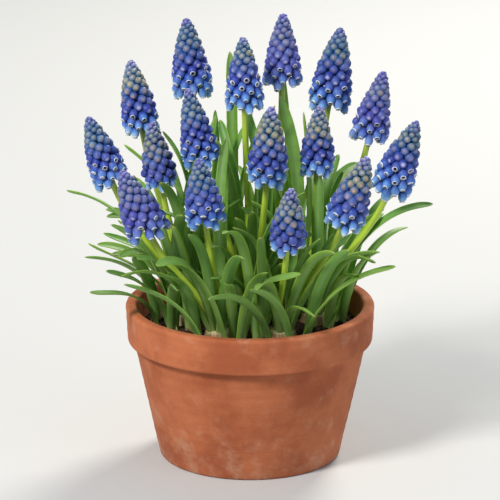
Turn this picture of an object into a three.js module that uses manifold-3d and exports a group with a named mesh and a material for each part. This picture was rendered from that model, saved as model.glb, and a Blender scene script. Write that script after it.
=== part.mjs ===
// A clay bulb pan planted with Armenian grape hyacinths: seven bulbs in potting compost, each with
// its strap leaves and one or two flower stalks, and on each stalk a raceme of small blue bells.
// Millimetres, +Z up. The origin is the centre of the pot's foot, on the surface it stands on, and
// the pot is seen from the front by looking along +Y.
import * as THREE from "three";
import { ParametricGeometry } from "three/addons/geometries/ParametricGeometry.js";
import { mergeVertices } from "three/addons/utils/BufferGeometryUtils.js";
import Module from "manifold-3d";

const wasm = await Module();
wasm.setup();

// Clearance between pieces that touch, and a wider one under a slanting foot and around a bulb
const GAP = 0.3;
const LOOSE_GAP = 0.5;

// The pot: a half-height clay pan with a rolled rim and one drain hole
const POT_HEIGHT = 88;
const POT_FOOT_RADIUS = 51;
const POT_FLOOR = 8;
const POT_WALL = 5;
const RIM_RADIUS = 70;
const RIM_BAND = 21;
const RIM_OVERHANG = 3.5;
const RIM_WALL = 6.5;
const EDGE = 1.2;
const DRAIN_RADIUS = 7;
const POT_SIDES = 40;

// The compost, heaped a little in the middle
const SOIL_TOP = 76;
const SOIL_HEAP = 1.5;

// The bulbs: one in the middle and a ring of six, with their noses above the compost
const BULB_RING = 36;
const BULB_LENGTH = 28;
const BULB_RADIUS = 12;
const BULB_NECK = 7.2;
const BULB_NOSE = 5;
const BULB_SIDES = 12;
const NECK_TOP = SOIL_TOP + BULB_NOSE;

// The flower stalks
const STALK_FOOT_RADIUS = 1.9;
const STALK_TOP_RADIUS = 1.7;
const STALK_TIP_RADIUS = 0.9;
const STALK_OFFSET = 2.7;
const STALK_SIDES = 8;
const STALK_BENDS = 7;

// The racemes: cones of florets in tiers, widest a little above their foot and threaded on the
// stalk's upper end
const RACEME_SIDES = 8;
const RACEME_TIERS = 6;
const RACEME_TIP = 1.2;
const RACEME_WIDEST = 0.2;
const RACEME_FOOT = 0.86;
const TIER_DEPTH = 0.1;
const THREADED_SHARE = 0.8;

// The leaves: channelled straps with a blunt tip
const LEAF_HALF_WIDTH = 3.3;
const LEAF_FOOT_HALF_WIDTH = 2.4;
const LEAF_HALF_THICKNESS = 0.6;
const LEAF_CHANNEL = 1.1;
const LEAF_RING = 5.7;
const LEAF_SIDES = 6;
const LEAF_STATIONS = 10;

const CLAY = { color: 0xbb6b45, roughness: 0.85, metalness: 0 };
const COMPOST = { color: 0x35261b, roughness: 1, metalness: 0 };
const TUNIC = { color: 0xb39a76, roughness: 0.7, metalness: 0 };
const STALK_GREEN = { color: 0x7f9a3c, roughness: 0.5, metalness: 0 };
const LEAF_GREEN = { color: 0x5d8a35, roughness: 0.5, metalness: 0 };
const FLOWER_BLUE = { color: 0x3f4fa6, roughness: 0.6, metalness: 0 };

// Where each bulb is planted, by the angle from +X and the distance from the pot's axis
const PLANTS = {
  middle: { angle: 0, distance: 0 },
  right: { angle: 0, distance: BULB_RING },
  back_right: { angle: 60, distance: BULB_RING },
  back_left: { angle: 120, distance: BULB_RING },
  left: { angle: 180, distance: BULB_RING },
  front_left: { angle: 240, distance: BULB_RING },
  front_right: { angle: 300, distance: BULB_RING },
};

// Each flower stalk: its bulb, where the raceme starts, the raceme's length and its widest radius
const STALKS = [
  { plant: "front_left", at: [-54, -42, 139], length: 43, radius: 11.6 },
  { plant: "front_left", at: [-24, -50, 148], length: 41, radius: 10.8 },
  { plant: "front_right", at: [20, -54, 135], length: 40, radius: 10.2 },
  { plant: "front_right", at: [50, -42, 144], length: 45, radius: 11.2 },
  { plant: "left", at: [-76, -10, 160], length: 42, radius: 10.4 },
  { plant: "left", at: [-60, 22, 180], length: 43, radius: 10.6 },
  { plant: "left", at: [-49, -4, 156], length: 39, radius: 9.6 },
  { plant: "right", at: [76, -12, 154], length: 47, radius: 11.4 },
  { plant: "right", at: [66, 18, 176], length: 42, radius: 10.2 },
  { plant: "right", at: [37, -7, 164], length: 41, radius: 9.8 },
  { plant: "middle", at: [-26, -14, 172], length: 46, radius: 10.2 },
  { plant: "middle", at: [9, -18, 162], length: 47, radius: 11.2 },
  { plant: "middle", at: [-3, 13, 196], length: 42, radius: 10.4 },
  { plant: "back_left", at: [-32, 42, 196], length: 46, radius: 11.2 },
  { plant: "back_right", at: [18, 38, 203], length: 43, radius: 10.4 },
  { plant: "back_right", at: [44, 38, 190], length: 48, radius: 11.8 },
];

// Each leaf: its bulb, the way it grows as an angle from +X, how far its tip reaches out and rises
// from the bulb's neck, how far it leans at the foot and at the tip, in degrees from upright, and
// how far it turns about its own length
const LEAVES = [
  { plant: "middle", angle: 118, reach: 30, rise: 104, lean: 6, tip: 34, twist: -40 },
  { plant: "middle", angle: 263, reach: 52, rise: 72, lean: 16, tip: 66, twist: -20 },
  { plant: "right", angle: 10, reach: 62, rise: 60, lean: 20, tip: 92, twist: 20 },
  { plant: "right", angle: 90, reach: 34, rise: 96, lean: 10, tip: 45, twist: -35 },
  { plant: "right", angle: 300, reach: 58, rise: 46, lean: 22, tip: 98, twist: -25 },
  { plant: "back_right", angle: 50, reach: 63, rise: 64, lean: 20, tip: 84, twist: 30 },
  { plant: "back_right", angle: 120, reach: 38, rise: 104, lean: 8, tip: 38, twist: -30 },
  { plant: "back_left", angle: 20, reach: 26, rise: 108, lean: 8, tip: 28, twist: 30 },
  { plant: "back_left", angle: 100, reach: 49, rise: 58, lean: 22, tip: 94, twist: -25 },
  { plant: "back_left", angle: 175, reach: 48, rise: 88, lean: 14, tip: 55, twist: 30 },
  { plant: "left", angle: 165, reach: 64, rise: 66, lean: 20, tip: 88, twist: 25 },
  { plant: "left", angle: 235, reach: 56, rise: 48, lean: 22, tip: 100, twist: -30 },
  { plant: "left", angle: 60, reach: 26, rise: 104, lean: 8, tip: 36, twist: -30 },
  { plant: "front_left", angle: 215, reach: 58, rise: 42, lean: 24, tip: 104, twist: 20 },
  { plant: "front_left", angle: 285, reach: 50, rise: 58, lean: 18, tip: 80, twist: -30 },
  { plant: "front_left", angle: 80, reach: 18, rise: 94, lean: 5, tip: 20, twist: 40 },
  { plant: "front_right", angle: 255, reach: 50, rise: 40, lean: 24, tip: 102, twist: 25 },
  { plant: "front_right", angle: 325, reach: 58, rise: 56, lean: 20, tip: 84, twist: -25 },
  { plant: "front_right", angle: 55, reach: 18, rise: 70, lean: 6, tip: 26, twist: -35 },
];

const radians = THREE.MathUtils.degToRad;

// A point or direction in the ground plane, at an angle from +X
function around(angle, distance, z = 0) {
  const a = radians(angle);
  return new THREE.Vector3(distance * Math.cos(a), distance * Math.sin(a), z);
}

// A round piece turned about Z from a profile of [radius, height] points
function turned(profile, sides) {
  const points = profile.map(([radius, height]) => new THREE.Vector2(radius, height));
  return new THREE.LatheGeometry(points, sides).rotateX(Math.PI / 2);
}

// A closed skin over a list of elliptical sections along Z. A section's edges can be lifted towards
// +Y, which makes a channel of it, and a section of no size closes an end.
function skin(sections, sides) {
  const last = sections.length - 1;
  const point = (u, v, target) => {
    const { z, across, deep, channel } = sections[Math.round(v * last)];
    const turn = 2 * Math.PI * u;
    const lift = channel * Math.cos(turn) ** 2;
    target.set(across * Math.cos(turn), deep * Math.sin(turn) + lift, z);
  };
  return new ParametricGeometry(point, sides, last);
}

function round(z, radius) {
  return { z, across: radius, deep: radius, channel: 0 };
}

// Bends an upright piece to a path: its axis follows the path, and its +X and +Y follow the path's
// side and face
function layAlong(geometry, path) {
  const position = geometry.getAttribute("position");
  for (let i = 0; i < position.count; i++) {
    const { at, side, face } = path(position.getZ(i));
    at.addScaledVector(side, position.getX(i)).addScaledVector(face, position.getY(i));
    position.setXYZ(i, at.x, at.y, at.z);
  }
  return geometry;
}

function solidOf(geometry) {
  const bare = geometry.clone().deleteAttribute("normal").deleteAttribute("uv");
  const merged = mergeVertices(bare, 1e-3);
  return new wasm.Manifold(
    new wasm.Mesh({
      numProp: 3,
      vertProperties: merged.attributes.position.array,
      triVerts: new Uint32Array(merged.index.array),
    }),
  );
}

function geometryOf(solid) {
  const { vertProperties, triVerts } = solid.getMesh();
  return new THREE.BufferGeometry()
    .setAttribute("position", new THREE.BufferAttribute(vertProperties, 3))
    .setIndex(new THREE.BufferAttribute(triVerts, 1));
}

function potInnerRadius(z) {
  const floorRadius = POT_FOOT_RADIUS - POT_WALL;
  const share = (z - POT_FLOOR) / (POT_HEIGHT - POT_FLOOR);
  return THREE.MathUtils.lerp(floorRadius, RIM_RADIUS - RIM_WALL, share);
}

// The pot's wall, run as one closed profile up the outside, over the rim and down the inside
function makePot() {
  const bandFoot = POT_HEIGHT - RIM_BAND;
  const bandRadius = RIM_RADIUS - EDGE;
  const profile = [
    [DRAIN_RADIUS, 0],
    [POT_FOOT_RADIUS - EDGE, 0],
    [POT_FOOT_RADIUS, EDGE],
    [bandRadius - RIM_OVERHANG, bandFoot],
    [bandRadius, bandFoot + EDGE],
    [RIM_RADIUS, POT_HEIGHT - EDGE],
    [RIM_RADIUS - EDGE, POT_HEIGHT],
    [potInnerRadius(POT_HEIGHT) + EDGE, POT_HEIGHT],
    [potInnerRadius(POT_HEIGHT - EDGE), POT_HEIGHT - EDGE],
    [potInnerRadius(POT_FLOOR), POT_FLOOR],
    [DRAIN_RADIUS, POT_FLOOR],
    [DRAIN_RADIUS, 0],
  ];
  return turned(profile, POT_SIDES);
}

// A bulb's outline from the basal plate up, grown outwards by a clearance for its pocket in the soil
function bulbProfile(clearance) {
  const foot = NECK_TOP - BULB_LENGTH;
  const outline = [
    [0.4, 0],
    [0.78, 0.12],
    [1, 0.4],
    [0.92, 0.64],
    [0.7, 0.84],
  ];
  return [
    [0, foot - clearance],
    ...outline.map(([radius, height]) => [
      BULB_RADIUS * radius + clearance,
      foot + BULB_LENGTH * height - (height ? 0 : clearance),
    ]),
    [BULB_NECK + clearance, NECK_TOP + clearance],
    [0, NECK_TOP + clearance],
  ];
}

function makeBulb(plant, clearance = 0) {
  const { x, y } = around(plant.angle, plant.distance);
  return turned(bulbProfile(clearance), BULB_SIDES).translate(x, y, 0);
}

// The compost, with a pocket around each bulb that opens at the top
function makeSoil() {
  const floor = POT_FLOOR + GAP;
  const profile = [
    [0, floor],
    [potInnerRadius(floor) - GAP, floor],
    [potInnerRadius(SOIL_TOP) - GAP, SOIL_TOP],
    [BULB_RING, SOIL_TOP + SOIL_HEAP / 2],
    [0, SOIL_TOP + SOIL_HEAP],
  ];
  const pockets = Object.values(PLANTS).map((plant) => solidOf(makeBulb(plant, LOOSE_GAP)));
  return geometryOf(
    pockets.reduce((soil, pocket) => soil.subtract(pocket), solidOf(turned(profile, POT_SIDES))),
  );
}

// Where a stalk leaves its bulb: in the middle of the neck, or on the side of its own raceme where
// several stalks share the bulb
function stalkFoot(stalk) {
  const plant = PLANTS[stalk.plant];
  const foot = around(plant.angle, plant.distance, NECK_TOP + LOOSE_GAP);
  const shared = STALKS.filter((other) => other.plant === stalk.plant);
  if (shared.length === 1) return foot;
  const apart = new THREE.Vector3(stalk.at[0], stalk.at[1], 0);
  for (const { at } of shared) apart.sub(new THREE.Vector3(at[0], at[1], 0).divideScalar(shared.length));
  return foot.addScaledVector(apart.normalize(), STALK_OFFSET);
}

// A flower stalk's path: a gentle bend from the bulb's neck to the raceme, then straight on
function stalkPath(stalk) {
  const foot = stalkFoot(stalk);
  const head = new THREE.Vector3(...stalk.at);
  const out = new THREE.Vector3(head.x - foot.x, head.y - foot.y, 0);
  const rise = head.z - foot.z;
  const bend = new THREE.CubicBezierCurve3(
    foot,
    foot.clone().addScaledVector(out, 0.06).setZ(foot.z + 0.36 * rise),
    head.clone().addScaledVector(out, -0.25).setZ(head.z - 0.36 * rise),
    head,
  );
  const bendLength = bend.getLength();
  const path = (s) => {
    const share = THREE.MathUtils.clamp(s / bendLength, 0, 1);
    const along = bend.getTangentAt(share);
    const at = bend.getPointAt(share).addScaledVector(along, Math.max(s - bendLength, 0));
    const side = new THREE.Vector3(0, 1, 0).cross(along).normalize();
    return { at, side, face: along.clone().cross(side) };
  };
  return { path, bendLength };
}

function makeStalk(stalk) {
  const { path, bendLength } = stalkPath(stalk);
  const top = bendLength + THREADED_SHARE * stalk.length - LOOSE_GAP;
  const sections = [round(0, 0)];
  for (let i = 0; i <= STALK_BENDS; i++) {
    const share = i / STALK_BENDS;
    const radius = THREE.MathUtils.lerp(STALK_FOOT_RADIUS, STALK_TOP_RADIUS, share);
    sections.push(round(share * bendLength, radius));
  }
  sections.push(round(top, STALK_TIP_RADIUS), round(top, 0));
  return layAlong(skin(sections, STALK_SIDES), path);
}

// How wide a raceme is at a share of its height, as a share of its widest
function racemeSwell(share) {
  if (share < RACEME_WIDEST) {
    return THREE.MathUtils.lerp(RACEME_FOOT, 1, share / RACEME_WIDEST);
  }
  const climb = (share - RACEME_WIDEST) / (1 - RACEME_WIDEST);
  return (1 - climb ** 1.6) ** 0.8;
}

// A raceme as one cone of tiers, each a whorl of florets, with a socket for the stalk's upper end
function makeRaceme(stalk) {
  const { path, bendLength } = stalkPath(stalk);
  const socket = STALK_TOP_RADIUS + LOOSE_GAP;
  const socketTop = bendLength + THREADED_SHARE * stalk.length;
  const tip = bendLength + stalk.length;
  const tiers = [];
  for (let i = 0; i < 2 * RACEME_TIERS; i++) {
    const share = i / (2 * RACEME_TIERS);
    const fold = i % 2 ? 1 : 1 - TIER_DEPTH;
    tiers.push(round(bendLength + share * stalk.length, stalk.radius * racemeSwell(share) * fold));
  }
  const sections = [
    round(socketTop, 0),
    round(socketTop, socket),
    round(bendLength, socket),
    ...tiers,
    round(tip, RACEME_TIP),
    round(tip, 0),
  ];
  return layAlong(skin(sections, RACEME_SIDES), path);
}

// A leaf's path: up from the rim of the bulb's neck and over to its tip
function leafPath(leaf) {
  const plant = PLANTS[leaf.plant];
  const out = around(leaf.angle, 1);
  const neck = around(plant.angle, plant.distance, NECK_TOP + LOOSE_GAP);
  const foot = neck.addScaledVector(out, LEAF_RING);
  const tip = foot.clone().addScaledVector(out, leaf.reach).setZ(foot.z + leaf.rise);
  const chord = foot.distanceTo(tip);
  const leaning = (degrees) =>
    out.clone().multiplyScalar(Math.sin(radians(degrees))).setZ(Math.cos(radians(degrees)));
  const arch = new THREE.CubicBezierCurve3(
    foot,
    foot.clone().addScaledVector(leaning(leaf.lean), 0.42 * chord),
    tip.clone().addScaledVector(leaning(leaf.tip), -0.36 * chord),
    tip,
  );
  const archLength = arch.getLength();
  const path = (s) => {
    const share = THREE.MathUtils.clamp(s / archLength, 0, 1);
    const along = arch.getTangentAt(share);
    const side = around(leaf.angle + 90, 1).applyAxisAngle(along, radians(leaf.twist) * share);
    return { at: arch.getPointAt(share), side, face: along.clone().cross(side) };
  };
  return { path, archLength };
}

function makeLeaf(leaf) {
  const { path, archLength } = leafPath(leaf);
  const sections = [{ z: 0, across: 0, deep: 0, channel: 0 }];
  for (let i = 0; i <= LEAF_STATIONS; i++) {
    const share = i / LEAF_STATIONS;
    const body = THREE.MathUtils.lerp(LEAF_FOOT_HALF_WIDTH, LEAF_HALF_WIDTH, Math.min(1, 2 * share));
    const taper = Math.sqrt(1 - Math.max(0, (share - 0.55) / 0.45) ** 2.4 * 0.96);
    const across = body * taper;
    sections.push({
      z: share * archLength,
      across,
      deep: LEAF_HALF_THICKNESS * Math.sqrt(taper),
      channel: LEAF_CHANNEL * taper,
    });
  }
  sections.push({ z: archLength, across: 0, deep: 0, channel: 0 });
  return layAlong(skin(sections, LEAF_SIDES), path);
}

const pottedPlant = new THREE.Group();

function add(name, geometry, finish) {
  const mesh = new THREE.Mesh(geometry, new THREE.MeshStandardMaterial(finish));
  mesh.name = name;
  pottedPlant.add(mesh);
}

function numbered(name, index) {
  return `${name}_${String(index + 1).padStart(2, "0")}`;
}

add("pot", makePot(), CLAY);
add("soil", makeSoil(), COMPOST);
for (const [place, plant] of Object.entries(PLANTS)) add(`bulb_${place}`, makeBulb(plant), TUNIC);
STALKS.forEach((stalk, i) => {
  add(numbered("stalk", i), makeStalk(stalk), STALK_GREEN);
  add(numbered("raceme", i), makeRaceme(stalk), FLOWER_BLUE);
});
LEAVES.forEach((leaf, i) => add(numbered("leaf", i), makeLeaf(leaf), LEAF_GREEN));

export default pottedPlant;
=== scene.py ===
"""A potted clump of Armenian grape hyacinths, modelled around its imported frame.

The frame gives the place and size of the clay pan, the compost and the bulbs, and of every flower stalk,
raceme and large leaf. Each of them is replaced here by a fine surface, worked out with numpy from the
frame's own points, and the small leaves that fill the clump are added. Lengths are in metres, and MM turns
millimetres to metres.
"""
import logging
import math
from dataclasses import dataclass, field, fields
from enum import Enum

import bpy
import numpy as np
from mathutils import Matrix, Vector
from mathutils.bvhtree import BVHTree


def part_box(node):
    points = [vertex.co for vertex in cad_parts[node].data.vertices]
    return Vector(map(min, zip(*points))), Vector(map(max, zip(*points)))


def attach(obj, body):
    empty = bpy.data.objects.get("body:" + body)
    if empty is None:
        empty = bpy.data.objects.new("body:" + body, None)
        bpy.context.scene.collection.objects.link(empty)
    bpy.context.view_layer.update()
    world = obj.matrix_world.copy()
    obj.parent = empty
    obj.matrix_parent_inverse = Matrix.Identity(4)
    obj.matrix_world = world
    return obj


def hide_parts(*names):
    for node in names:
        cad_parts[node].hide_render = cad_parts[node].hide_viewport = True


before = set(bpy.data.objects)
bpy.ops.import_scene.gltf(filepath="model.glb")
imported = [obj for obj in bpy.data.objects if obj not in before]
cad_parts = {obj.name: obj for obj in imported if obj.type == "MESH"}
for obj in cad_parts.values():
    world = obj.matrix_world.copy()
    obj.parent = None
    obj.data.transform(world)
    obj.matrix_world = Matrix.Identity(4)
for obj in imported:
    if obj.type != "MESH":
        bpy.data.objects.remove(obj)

log = logging.getLogger("grape_hyacinth")

Array = np.ndarray
Tree = bpy.types.NodeTree
Socket = bpy.types.NodeSocket
MM = 0.001
SEED = 20
BODY = "root"
UP = np.array([0.0, 0.0, 1.0])
BACK = np.array([0.0, 1.0, 0.0])
GOLDEN_ANGLE = math.pi * (3 - math.sqrt(5))
# A floret's age runs from 0 at the raceme's tip to 1 at its foot, and from this age on it is an open bell.
OPEN_AGE = 0.68


def linear(hex_colour: str) -> tuple[float, float, float, float]:
    """Turns an sRGB colour to the linear one that shaders take.

    Args:
        hex_colour: the colour as "#rrggbb".

    Returns:
        Linear red, green, blue and an alpha of 1.
    """
    parts = [int(hex_colour[i : i + 2], 16) / 255 for i in (1, 3, 5)]
    red, green, blue = (c / 12.92 if c <= 0.04045 else ((c + 0.055) / 1.055) ** 2.4 for c in parts)
    return red, green, blue, 1.0


def unit(vectors: Array) -> Array:
    """Scales vectors, held along the last axis, to a length of one."""
    return vectors / np.linalg.norm(vectors, axis=-1, keepdims=True)


def stacked(*columns: Array | float) -> Array:
    """Coordinates that broadcast to one shape, stacked along a new last axis."""
    return np.stack(np.broadcast_arrays(*columns), -1)


def angles_round(sides: int) -> Array:
    """Evenly spaced angles round a circle, the first of them zero."""
    return np.arange(sides) * 2 * math.pi / sides


def eased(low: float, high: float, values: Array) -> Array:
    """A smooth step from 0 at low to 1 at high: 3x² - 2x³ of the share of the way between them."""
    share = np.clip((values - low) / (high - low), 0, 1)
    return share * share * (3 - 2 * share)


def round_about(axis: Array, across: Array, angles: Array) -> Array:
    """Unit vectors at angles about an axis.

    Args:
        axis: unit axes, (..., 3).
        across: unit vectors at angle zero, at right angles to the axes, (..., 3).
        angles: angles, which broadcast against the axes' leading shape.

    Returns:
        across · cos(angle) + (axis × across) · sin(angle).
    """
    return across * np.cos(angles)[..., None] + np.cross(axis, across) * np.sin(angles)[..., None]


def bent(start: Array, handle: Array, end: Array, t: Array) -> Array:
    """A curve from start to end that leaves and arrives towards its handle.

    Args:
        start: its first point.
        handle: the point that draws it aside.
        end: its last point.
        t: shares of the way, which broadcast against the points.

    Returns:
        (1-t)²·start + 2t(1-t)·handle + t²·end.
    """
    return (1 - t) ** 2 * start + 2 * t * (1 - t) * handle + t**2 * end


def lengths_along(line: Array) -> Array:
    """The length of a line of points from its start to each of them."""
    return np.concatenate([[0], np.cumsum(np.linalg.norm(np.diff(line, axis=0), axis=1))])


def run_through(points: Array, shares: Array, chords: int = 16) -> Array:
    """Places on the smooth curve through some points, by share of its length.

    Between two points the curve is a cubic whose slope at each point is half the step from the point before
    to the point after.

    Args:
        points: (n, d) values, whose first three columns are a place.
        shares: (m,) shares of the length, from 0 to 1.
        chords: how many chords each span's length is measured along.

    Returns:
        (m, d) values.
    """
    padded = np.vstack([2 * points[0] - points[1], points, 2 * points[-1] - points[-2]])
    t = np.arange(chords)[:, None] / chords
    before, start, end, after = padded[:-3], padded[1:-2], padded[2:-1], padded[3:]
    a, b, c, d = (x[:, None, :] for x in (before, start, end, after))
    curve = b + 0.5 * t * (c - a + t * (2 * a - 5 * b + 4 * c - d + t * (3 * (b - c) + d - a)))
    curve = np.vstack([curve.reshape(-1, points.shape[1]), points[-1:]])
    length = lengths_along(curve[:, :3])
    return np.stack([np.interp(shares * length[-1], length, column) for column in curve.T], 1)


class Relief:
    """Smooth random bumps: random values on a cubic lattice, blended between its points.

    Attributes:
        CELLS: how many cells the lattice has each way, after which it repeats.
        SHIFT: how far each finer layer is moved against the last, in cells.
    """

    CELLS = 24
    SHIFT = 7.3

    def __init__(self, seed: int) -> None:
        """Draws the lattice's values from a seed."""
        self.lattice = np.random.default_rng(seed).uniform(-1, 1, (self.CELLS,) * 3)

    def at(self, places: Array, size: float, octaves: int = 1) -> Array:
        """The relief's height at some places.

        Args:
            places: (..., 3) places.
            size: width of the largest bumps.
            octaves: how many layers are added, each with bumps half as wide and half as high as the last.

        Returns:
            Heights, from -1 to 1 for one layer and up to twice that for many.
        """
        total = np.zeros(places.shape[:-1])
        for octave in range(octaves):
            cell = places / size * 2**octave + self.SHIFT * octave
            low = np.floor(cell).astype(int)
            part = cell - low
            part = part * part * (3 - 2 * part)
            for corner in np.ndindex(2, 2, 2):
                weight = np.prod(np.where(corner, part, 1 - part), axis=-1)
                value = self.lattice[tuple(np.moveaxis((low + corner) % self.CELLS, -1, 0))]
                total += weight * value / 2**octave
        return total


RELIEF = Relief(SEED)


@dataclass
class Shell:
    """A closed mesh in the making.

    Attributes:
        points: (n, 3) places.
        quads: (m, 4) corners of the four-sided faces.
        triangles: (k, 3) corners of the three-sided faces.
        values: what each point carries for its material, by attribute name, (n, 3) each.
    """

    points: Array
    quads: Array
    triangles: Array
    values: dict[str, Array] = field(default_factory=dict)

    @classmethod
    def of_rings(cls, rings: Array, start: Array, end: Array, **values: Array) -> "Shell":
        """Skins n tubes of rings, each closed by a point at either end.

        Args:
            rings: (n, r, s, 3) points, in which each ring turns right-handed about its tube's direction.
            start: (n, 3) the points that close the first rings.
            end: (n, 3) the points that close the last rings.
            **values: arrays that broadcast to (n, r + 2, s, 3): what each ring carries, the ends included.

        Returns:
            The shell, in which a tube's points are its start, its rings in turn and its end.
        """
        n, r, s, _ = rings.shape
        step = r * s + 2
        tubes = np.concatenate([start[:, None], rings.reshape(n, r * s, 3), end[:, None]], 1)
        side, after = np.arange(s), (np.arange(s) + 1) % s
        low = 1 + s * np.arange(r - 1)[:, None]
        quads = np.stack([low + side, low + after, low + s + after, low + s + side], -1).reshape(-1, 4)
        foot = np.stack([np.zeros(s, int), 1 + after, 1 + side], -1)
        top = 1 + s * (r - 1)
        head = np.stack([np.full(s, step - 1), top + side, top + after], -1)
        shift = (step * np.arange(n))[:, None, None]
        carried_values = {}
        for name, value in values.items():
            full = np.broadcast_to(value, (n, r + 2, s, 3))
            between_ends = full[:, 1:-1].reshape(n, r * s, 3)
            tube_values = np.concatenate([full[:, :1, 0], between_ends, full[:, -1:, 0]], 1)
            carried_values[name] = tube_values.reshape(-1, 3)
        return cls(
            points=tubes.reshape(-1, 3),
            quads=(quads + shift).reshape(-1, 4),
            triangles=(np.concatenate([foot, head]) + shift).reshape(-1, 3),
            values=carried_values,
        )

    @classmethod
    def of_loop(cls, rings: Array) -> "Shell":
        """Skins rings into a closed loop: the last ring joins the first, as in the wall of a pot.

        Args:
            rings: (r, s, 3) points.

        Returns:
            The shell, which carries no values.
        """
        r, s, _ = rings.shape
        low, side = s * np.arange(r)[:, None], np.arange(s)
        high, after = np.roll(low, -1, 0), np.roll(side, -1)
        quads = np.stack([low + side, low + after, high + after, high + side], -1).reshape(-1, 4)
        return cls(points=rings.reshape(-1, 3), quads=quads, triangles=np.zeros((0, 3), int))

    @classmethod
    def joined(cls, shells: list["Shell"]) -> "Shell":
        """Makes one shell of several.

        Args:
            shells: the shells, which all carry the same values.

        Returns:
            The shell that holds them.
        """
        shifts = np.cumsum([0] + [len(shell.points) for shell in shells[:-1]])
        names = shells[0].values
        return cls(
            points=np.concatenate([shell.points for shell in shells]),
            quads=np.concatenate([shell.quads + shift for shell, shift in zip(shells, shifts)]),
            triangles=np.concatenate([shell.triangles + shift for shell, shift in zip(shells, shifts)]),
            values={name: np.concatenate([shell.values[name] for shell in shells]) for name in names},
        )

    def polygons(self) -> list[list[int]]:
        """All the faces' corners, the four-sided ones first."""
        return self.quads.tolist() + self.triangles.tolist()

    def piece(self, name: str, finish: "Finish", nodes: tuple[str, ...] = ()) -> bpy.types.Object:
        """Makes the shell a smooth Blender object that belongs to the part's one body.

        Args:
            name: the piece's name.
            finish: what it is made of.
            nodes: the frame's nodes that it stands for.

        Returns:
            The object, at the origin, with its place in its mesh.
        """
        mesh = bpy.data.meshes.new(name)
        mesh.from_pydata(self.points.tolist(), [], self.polygons())
        mesh.validate()
        mesh.shade_smooth()
        for key, value in self.values.items():
            attribute = mesh.attributes.new(key, "FLOAT_VECTOR", "POINT")
            attribute.data.foreach_set("vector", np.ascontiguousarray(value, np.float32).ravel())
        mesh.materials.append(finish.material())
        made = bpy.data.objects.new(name, mesh)
        bpy.context.scene.collection.objects.link(made)
        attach(made, BODY)
        if nodes:
            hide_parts(*nodes)
        log.info("%s: %d faces, in place of %s", name, len(mesh.polygons), ", ".join(nodes) or "nothing")
        return made


def node_mesh(name: str, same: float = 0.005 * MM) -> tuple[Array, Array]:
    """A frame node's mesh, with the corners that its triangles share merged.

    Args:
        name: the node.
        same: how close two corners are that count as one point.

    Returns:
        (n, 3) points and (m, 3) corners of the triangles.
    """
    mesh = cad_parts[name].data
    mesh.calc_loop_triangles()
    places = np.empty(3 * len(mesh.vertices), np.float32)
    mesh.vertices.foreach_get("co", places)
    corners = np.empty(3 * len(mesh.loop_triangles), np.int32)
    mesh.loop_triangles.foreach_get("vertices", corners)
    rounded = np.round(places.reshape(-1, 3) / same)
    _, first, merged = np.unique(rounded, axis=0, return_index=True, return_inverse=True)
    return places.reshape(-1, 3)[first].astype(float), merged.ravel()[corners].reshape(-1, 3)


@dataclass
class NodeSkin:
    """The points that a slender node was skinned over.

    Attributes:
        start: the point that closes its first ring.
        rings: (rings, sides, 3) points, in no order round a ring.
    """

    start: Array
    rings: Array

    def centres(self) -> Array:
        """The middle of each ring."""
        return self.rings.mean(1)

    def radii(self) -> Array:
        """Each point's distance from the middle of its ring, (rings, sides)."""
        return np.linalg.norm(self.rings - self.centres()[:, None], axis=-1)


def skin_of(name: str, from_top: bool = False, tried: int = 24) -> NodeSkin:
    """Finds the rings of points that a slender node was skinned over, from one end to the other.

    An end of such a node is one point, and each ring is as many edges away from it as it is rings along. So
    the end is the point, among the nearest to that end, from which every count of edges is met by as many
    points.

    Args:
        name: the node.
        from_top: whether the first ring is the one at the top.
        tried: how many of the points nearest to that end are tried.

    Returns:
        The skin.

    Raises:
        ValueError: if none of the tried points is such an end.
    """
    points, triangles = node_mesh(name)
    edges = np.concatenate([triangles[:, [0, 1]], triangles[:, [1, 2]], triangles[:, [2, 0]]])
    edges = np.concatenate([edges, edges[:, ::-1]])
    height = -points[:, 2] if from_top else points[:, 2]
    for start in np.argsort(height, kind="stable")[:tried]:
        steps = np.full(len(points), -1)
        steps[start] = 0
        while (reached := edges[(steps[edges[:, 0]] >= 0) & (steps[edges[:, 1]] < 0)]).size:
            steps[reached[:, 1]] = steps.max() + 1
        counts = np.bincount(steps)
        if counts[0] == counts[-1] == 1 and len(set(counts[1:-1])) == 1:
            ordered = points[np.argsort(steps, kind="stable")]
            return NodeSkin(ordered[0], ordered[1:-1].reshape(len(counts) - 2, counts[1], 3))
    raise ValueError(f"{name} isn't a skin over rings")


def add(
    tree: Tree, kind: str, inputs: dict | None = None, stops: tuple = (), **settings: object
) -> bpy.types.Node:
    """Adds a node to a tree.

    Args:
        tree: the tree.
        kind: the node's type.
        inputs: a value or a socket to link, by input name or number.
        stops: (place, hex colour) pairs of a colour ramp.
        **settings: the node's own properties.

    Returns:
        The node.
    """
    node = tree.nodes.new(kind)
    for key, value in settings.items():
        setattr(node, key, value)
    for key, value in (inputs or {}).items():
        if isinstance(value, Socket):
            tree.links.new(value, node.inputs[key])
        else:
            node.inputs[key].default_value = value
    for i, (place, colour) in enumerate(stops):
        element = node.color_ramp.elements[i] if i < 2 else node.color_ramp.elements.new(place)
        element.position, element.color = place, linear(colour)
    return node


def place_on_object(tree: Tree) -> Socket:
    """The place on the object, in metres, as a socket."""
    return add(tree, "ShaderNodeTexCoord").outputs["Object"]


def carried(tree: Tree, name: str) -> list[Socket]:
    """The three numbers that a mesh's attribute carries, as sockets."""
    vector = add(tree, "ShaderNodeAttribute", attribute_name=name).outputs["Vector"]
    return list(add(tree, "ShaderNodeSeparateXYZ", {0: vector}).outputs)


def arithmetic(tree: Tree, operation: str, *values: object) -> Socket:
    """A sum, a product or the like of values or sockets, by the operation's name in Blender."""
    return add(tree, "ShaderNodeMath", dict(enumerate(values)), operation=operation).outputs[0]


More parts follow.
